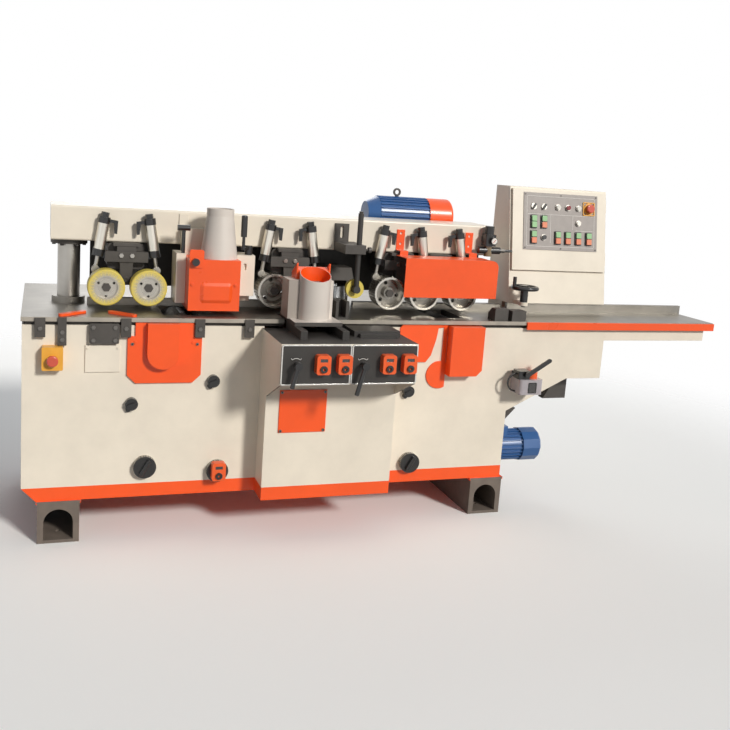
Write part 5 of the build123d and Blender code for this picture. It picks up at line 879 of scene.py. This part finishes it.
class MOULDER_OT_plate(bpy.types.Operator):
    """Add the printed lines and the square stop collar of the control plate"""

    bl_idname = "moulder.plate"
    bl_label = "Control plate"

    def execute(self, context):
        ink = white_ink()
        yellow = bpy.data.materials["yellow_moulded_box"]
        low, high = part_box("control_plate")
        width = high[0] - low[0]
        frame = plate_frame()
        line = 1.6 * MM
        raised = Matrix.Translation((0, -0.3 * MM, 0))
        border = ring_frame(width - 30 * MM, (PLATE_HEIGHT - 30) * MM, 6 * MM, line, 0.5 * MM)
        border.transform(frame @ raised)
        prints = [border]
        # Lines between the button groups: width and height, then place from the upper left corner
        for across, up, x, down in ((341, 1.6, 191.5, 96), (1.6, 128, 138, 160),
                                    (90, 1.6, 315, 164), (1.6, 66, 254, 128)):
            mark = slab(across * MM, up * MM, 0.6 * MM, 0.5 * MM, 0.15 * MM)
            place = Vector((x * MM - width / 2, 0, (PLATE_HEIGHT / 2 - down) * MM))
            mark.transform(frame @ raised @ Matrix.Translation(place))
            prints.append(mark)
        new_piece("plate_lines", merged(prints), "door", "aluminium_tube", ink)
        side = 62 * MM
        collar = ring_frame(side, side, 5 * MM, side / 2 - 26.3 * MM, 4 * MM)
        stop = Vector((PLATE_COLUMNS[5] * MM - width / 2, -4 * MM,
                       (PLATE_HEIGHT / 2 - PLATE_ROWS[0]) * MM))
        collar.transform(frame @ Matrix.Translation(stop))
        new_piece("stop_collar", collar, "door", "yellow_plastic", yellow)
        return {"FINISHED"}


class MOULDER_OT_pump(bpy.types.Operator):
    """Add the sight window of the oil pump's bottle"""

    bl_idname = "moulder.pump"
    bl_label = "Oil pump"

    def execute(self, context):
        black = black_phenolic()
        glass = bpy.data.materials["smoked_counter_window"]
        low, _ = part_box("oil_pump")
        place = Matrix.Translation((1.003, low[1] - 1.6 * MM, 0.582))
        rim = ring_frame(40 * MM, 46 * MM, 5 * MM, 5 * MM, 2.2 * MM)
        rim.transform(place)
        new_piece("bottle_window_rim", rim, "base", "black_plastic", black)
        pane = slab(31 * MM, 37 * MM, 3 * MM, 1.4 * MM, 0.3 * MM)
        pane.transform(place @ Matrix.Translation((0, 0.8 * MM, 0)))
        new_piece("bottle_window", pane, "base", "black_plastic", glass)
        return {"FINISHED"}


def disc(radius, thickness, steps=40):
    """Disc in the XZ plane whose front lies at minus thickness along Y."""
    mesh = bpy.data.meshes.new("disc")
    shape = bmesh.new()
    bmesh.ops.create_cone(shape, cap_ends=True, segments=steps, radius1=radius,
                          radius2=radius * 0.985, depth=thickness,
                          matrix=Matrix.Rotation(math.radians(90), 4, "X"))
    bmesh.ops.translate(shape, verts=shape.verts, vec=(0, -thickness / 2, 0))
    bmesh.ops.recalc_face_normals(shape, faces=shape.faces)
    shape.to_mesh(mesh)
    shape.free()
    return mesh


class MOULDER_OT_gauge(bpy.types.Operator):
    """Add the pressure gauge's dial, ring and needle"""

    bl_idname = "moulder.gauge"
    bl_label = "Pressure gauge"

    def execute(self, context):
        dial = shared("white_printed_dial", moulded_plastic, linear("#EDEBE4"), roughness=0.3,
                      coat=0.5)
        red = bpy.data.materials["red_moulded_button"]
        centre = Vector((0.905, -0.211, 1.168))
        face = disc(13.5 * MM, 1.0 * MM)
        face.transform(Matrix.Translation(centre))
        new_piece("gauge_dial", face, "beam_group", "aluminium_tube", dial)
        needle = ring_frame(2.2 * MM, 17 * MM, 1 * MM, 1.05 * MM, 0.8 * MM)
        needle.transform(Matrix.Translation(centre + Vector((0, -1.9 * MM, 0)))
                         @ Matrix.Rotation(math.radians(40), 4, "Y"))
        new_piece("gauge_needle", needle, "beam_group", "red_plastic", red)
        return {"FINISHED"}


class MOULDER_OT_stage(bpy.types.Operator):
    """Set the floor, light, world and camera"""

    bl_idname = "moulder.stage"
    bl_label = "Stage"

    def execute(self, context):
        scene = context.scene
        # Pale floor that fades into the white background well outside the machine and its shadow
        material, tree, coords = start_material("pale_floor")
        # The camera sees it pale, but it throws less light back up at the machine
        path = add_node(tree, "ShaderNodeLightPath")
        shade = blend_colours(tree, path.outputs["Is Diffuse Ray"], rgba(linear("#FBFBFA")),
                              rgba(linear("#A9A7A4")))
        soft = add_node(tree, "ShaderNodeBsdfPrincipled", {"Base Color": shade, "Roughness": 0.9})
        clear = add_node(tree, "ShaderNodeBsdfTransparent")
        far = add_node(tree, "ShaderNodeVectorMath", {0: coords}, operation="LENGTH")
        fade = add_node(tree, "ShaderNodeMapRange",
                        {"Value": far.outputs["Value"], "From Min": 2.3, "From Max": 4.2},
                        interpolation_type="SMOOTHSTEP")
        mix = add_node(tree, "ShaderNodeMixShader", {0: fade.outputs["Result"]})
        tree.links.new(soft.outputs["BSDF"], mix.inputs[1])
        tree.links.new(clear.outputs["BSDF"], mix.inputs[2])
        add_node(tree, "ShaderNodeOutputMaterial", {"Surface": mix.outputs[0]})
        mesh = bpy.data.meshes.new("floor")
        mesh.from_pydata([(-6, -6, 0), (6, -6, 0), (6, 6, 0), (-6, 6, 0)], [], [(0, 1, 2, 3)])
        mesh.materials.append(material)
        floor = bpy.data.objects.new("floor", mesh)
        scene.collection.objects.link(floor)
        world = bpy.data.worlds.new("studio")
        scene.world = world
        world.use_nodes = True
        nodes = world.node_tree
        nodes.nodes.clear()
        path = add_node(nodes, "ShaderNodeLightPath")
        # The sky is brighter above and to the right, so that the left sides stay in shade
        sky = add_node(nodes, "ShaderNodeTexCoord")
        slant = add_node(nodes, "ShaderNodeVectorMath", {0: sky.outputs["Generated"],
                                                         1: (0.17, 0.0, 0.18)},
                         operation="DOT_PRODUCT")
        strength = add_node(nodes, "ShaderNodeMath", {0: slant.outputs["Value"], 1: 0.19},
                            operation="ADD")
        light = add_node(nodes, "ShaderNodeBackground", {"Color": rgba(linear("#EDF1F6")),
                                                         "Strength": strength.outputs[0]})
        white = add_node(nodes, "ShaderNodeBackground", {"Color": (1, 1, 1, 1), "Strength": 1.0})
        seen = add_node(nodes, "ShaderNodeMath", {0: path.outputs["Is Camera Ray"],
                                                  1: path.outputs["Is Glossy Ray"]},
                        operation="MAXIMUM")
        through = add_node(nodes, "ShaderNodeMath", {0: seen.outputs[0],
                                                     1: path.outputs["Is Transmission Ray"]},
                           operation="MAXIMUM")
        mix = add_node(nodes, "ShaderNodeMixShader", {0: through.outputs[0]})
        nodes.links.new(light.outputs[0], mix.inputs[1])
        nodes.links.new(white.outputs[0], mix.inputs[2])
        add_node(nodes, "ShaderNodeOutputWorld", {"Surface": mix.outputs[0]})
        # Soft key from the front right that shades the left sides, a weak fill and a back lamp
        for name, kind, place, power, size, tint in (
            ("key_light", "SUN", (2.2, -4.6, 3.5), 2.75, math.radians(9), "#FFFCF6"),
            ("fill_light", "AREA", (-4.5, -4.0, 2.4), 12, 3.5, "#EFF4FF"),
            ("back_light", "AREA", (0.5, 4.5, 3.6), 70, 3.0, "#FFFFFF"),
        ):
            lamp = bpy.data.lights.new(name, kind)
            lamp.energy = power
            setattr(lamp, "angle" if kind == "SUN" else "size", size)
            lamp.color = linear(tint)
            holder = bpy.data.objects.new(name, lamp)
            scene.collection.objects.link(holder)
            holder.location = place
            holder.rotation_euler = (Vector((0, 0, 0.7)) - Vector(place)).to_track_quat(
                "-Z", "Y").to_euler()
        camera = bpy.data.cameras.new("camera")
        camera.sensor_width = 36
        camera.lens = 44.57
        camera.shift_x = -0.0008
        camera.shift_y = -0.0626
        camera.clip_start = 0.05
        camera.clip_end = 60
        viewer = bpy.data.objects.new("camera", camera)
        scene.collection.objects.link(viewer)
        viewer.location = (-0.943, -3.716, 1.459)
        viewer.rotation_euler = [math.radians(a) for a in (80.23525, -4.06051, -19.36182)]
        scene.camera = viewer
        scene.view_settings.view_transform = "Standard"
        return {"FINISHED"}


class MOULDER_PT_panel(bpy.types.Panel):
    """Sidebar list of the moulder's finishing steps"""

    bl_label = "Four Sided Moulder"
    bl_idname = "MOULDER_PT_panel"
    bl_space_type = "VIEW_3D"
    bl_region_type = "UI"
    bl_category = "Moulder"

    def draw(self, context):
        for group in (context.scene.moulder_colours, context.scene.moulder_sizes):
            for key in group.bl_rna.properties.keys():
                if key not in ("rna_type", "name"):
                    self.layout.prop(group, key)
        for operator in OPERATORS:
            self.layout.operator(operator.bl_idname)


OPERATORS = (
    MOULDER_OT_sheet,
    MOULDER_OT_bed,
    MOULDER_OT_feed_works,
    MOULDER_OT_cutters,
    MOULDER_OT_controls,
    MOULDER_OT_motors,
    MOULDER_OT_screws,
    MOULDER_OT_console,
    MOULDER_OT_plate,
    MOULDER_OT_pump,
    MOULDER_OT_gauge,
    MOULDER_OT_stage,
)
CLASSES = (MoulderColours, MoulderSizes) + OPERATORS + (MOULDER_PT_panel,)


def register():
    for item in CLASSES:
        bpy.utils.register_class(item)
    bpy.types.Scene.moulder_colours = bpy.props.PointerProperty(type=MoulderColours)
    bpy.types.Scene.moulder_sizes = bpy.props.PointerProperty(type=MoulderSizes)


def unregister():
    del bpy.types.Scene.moulder_sizes
    del bpy.types.Scene.moulder_colours
    for item in reversed(CLASSES):
        bpy.utils.unregister_class(item)


def main():
    register()
    bpy.ops.moulder.sheet()
    bpy.ops.moulder.bed()
    bpy.ops.moulder.feed_works()
    bpy.ops.moulder.cutters()
    bpy.ops.moulder.controls()
    bpy.ops.moulder.motors()
    bpy.ops.moulder.screws()
    bpy.ops.moulder.console()
    bpy.ops.moulder.plate()
    bpy.ops.moulder.pump()
    bpy.ops.moulder.gauge()
    bpy.ops.moulder.stage()


if __name__ == "__main__":
    main()
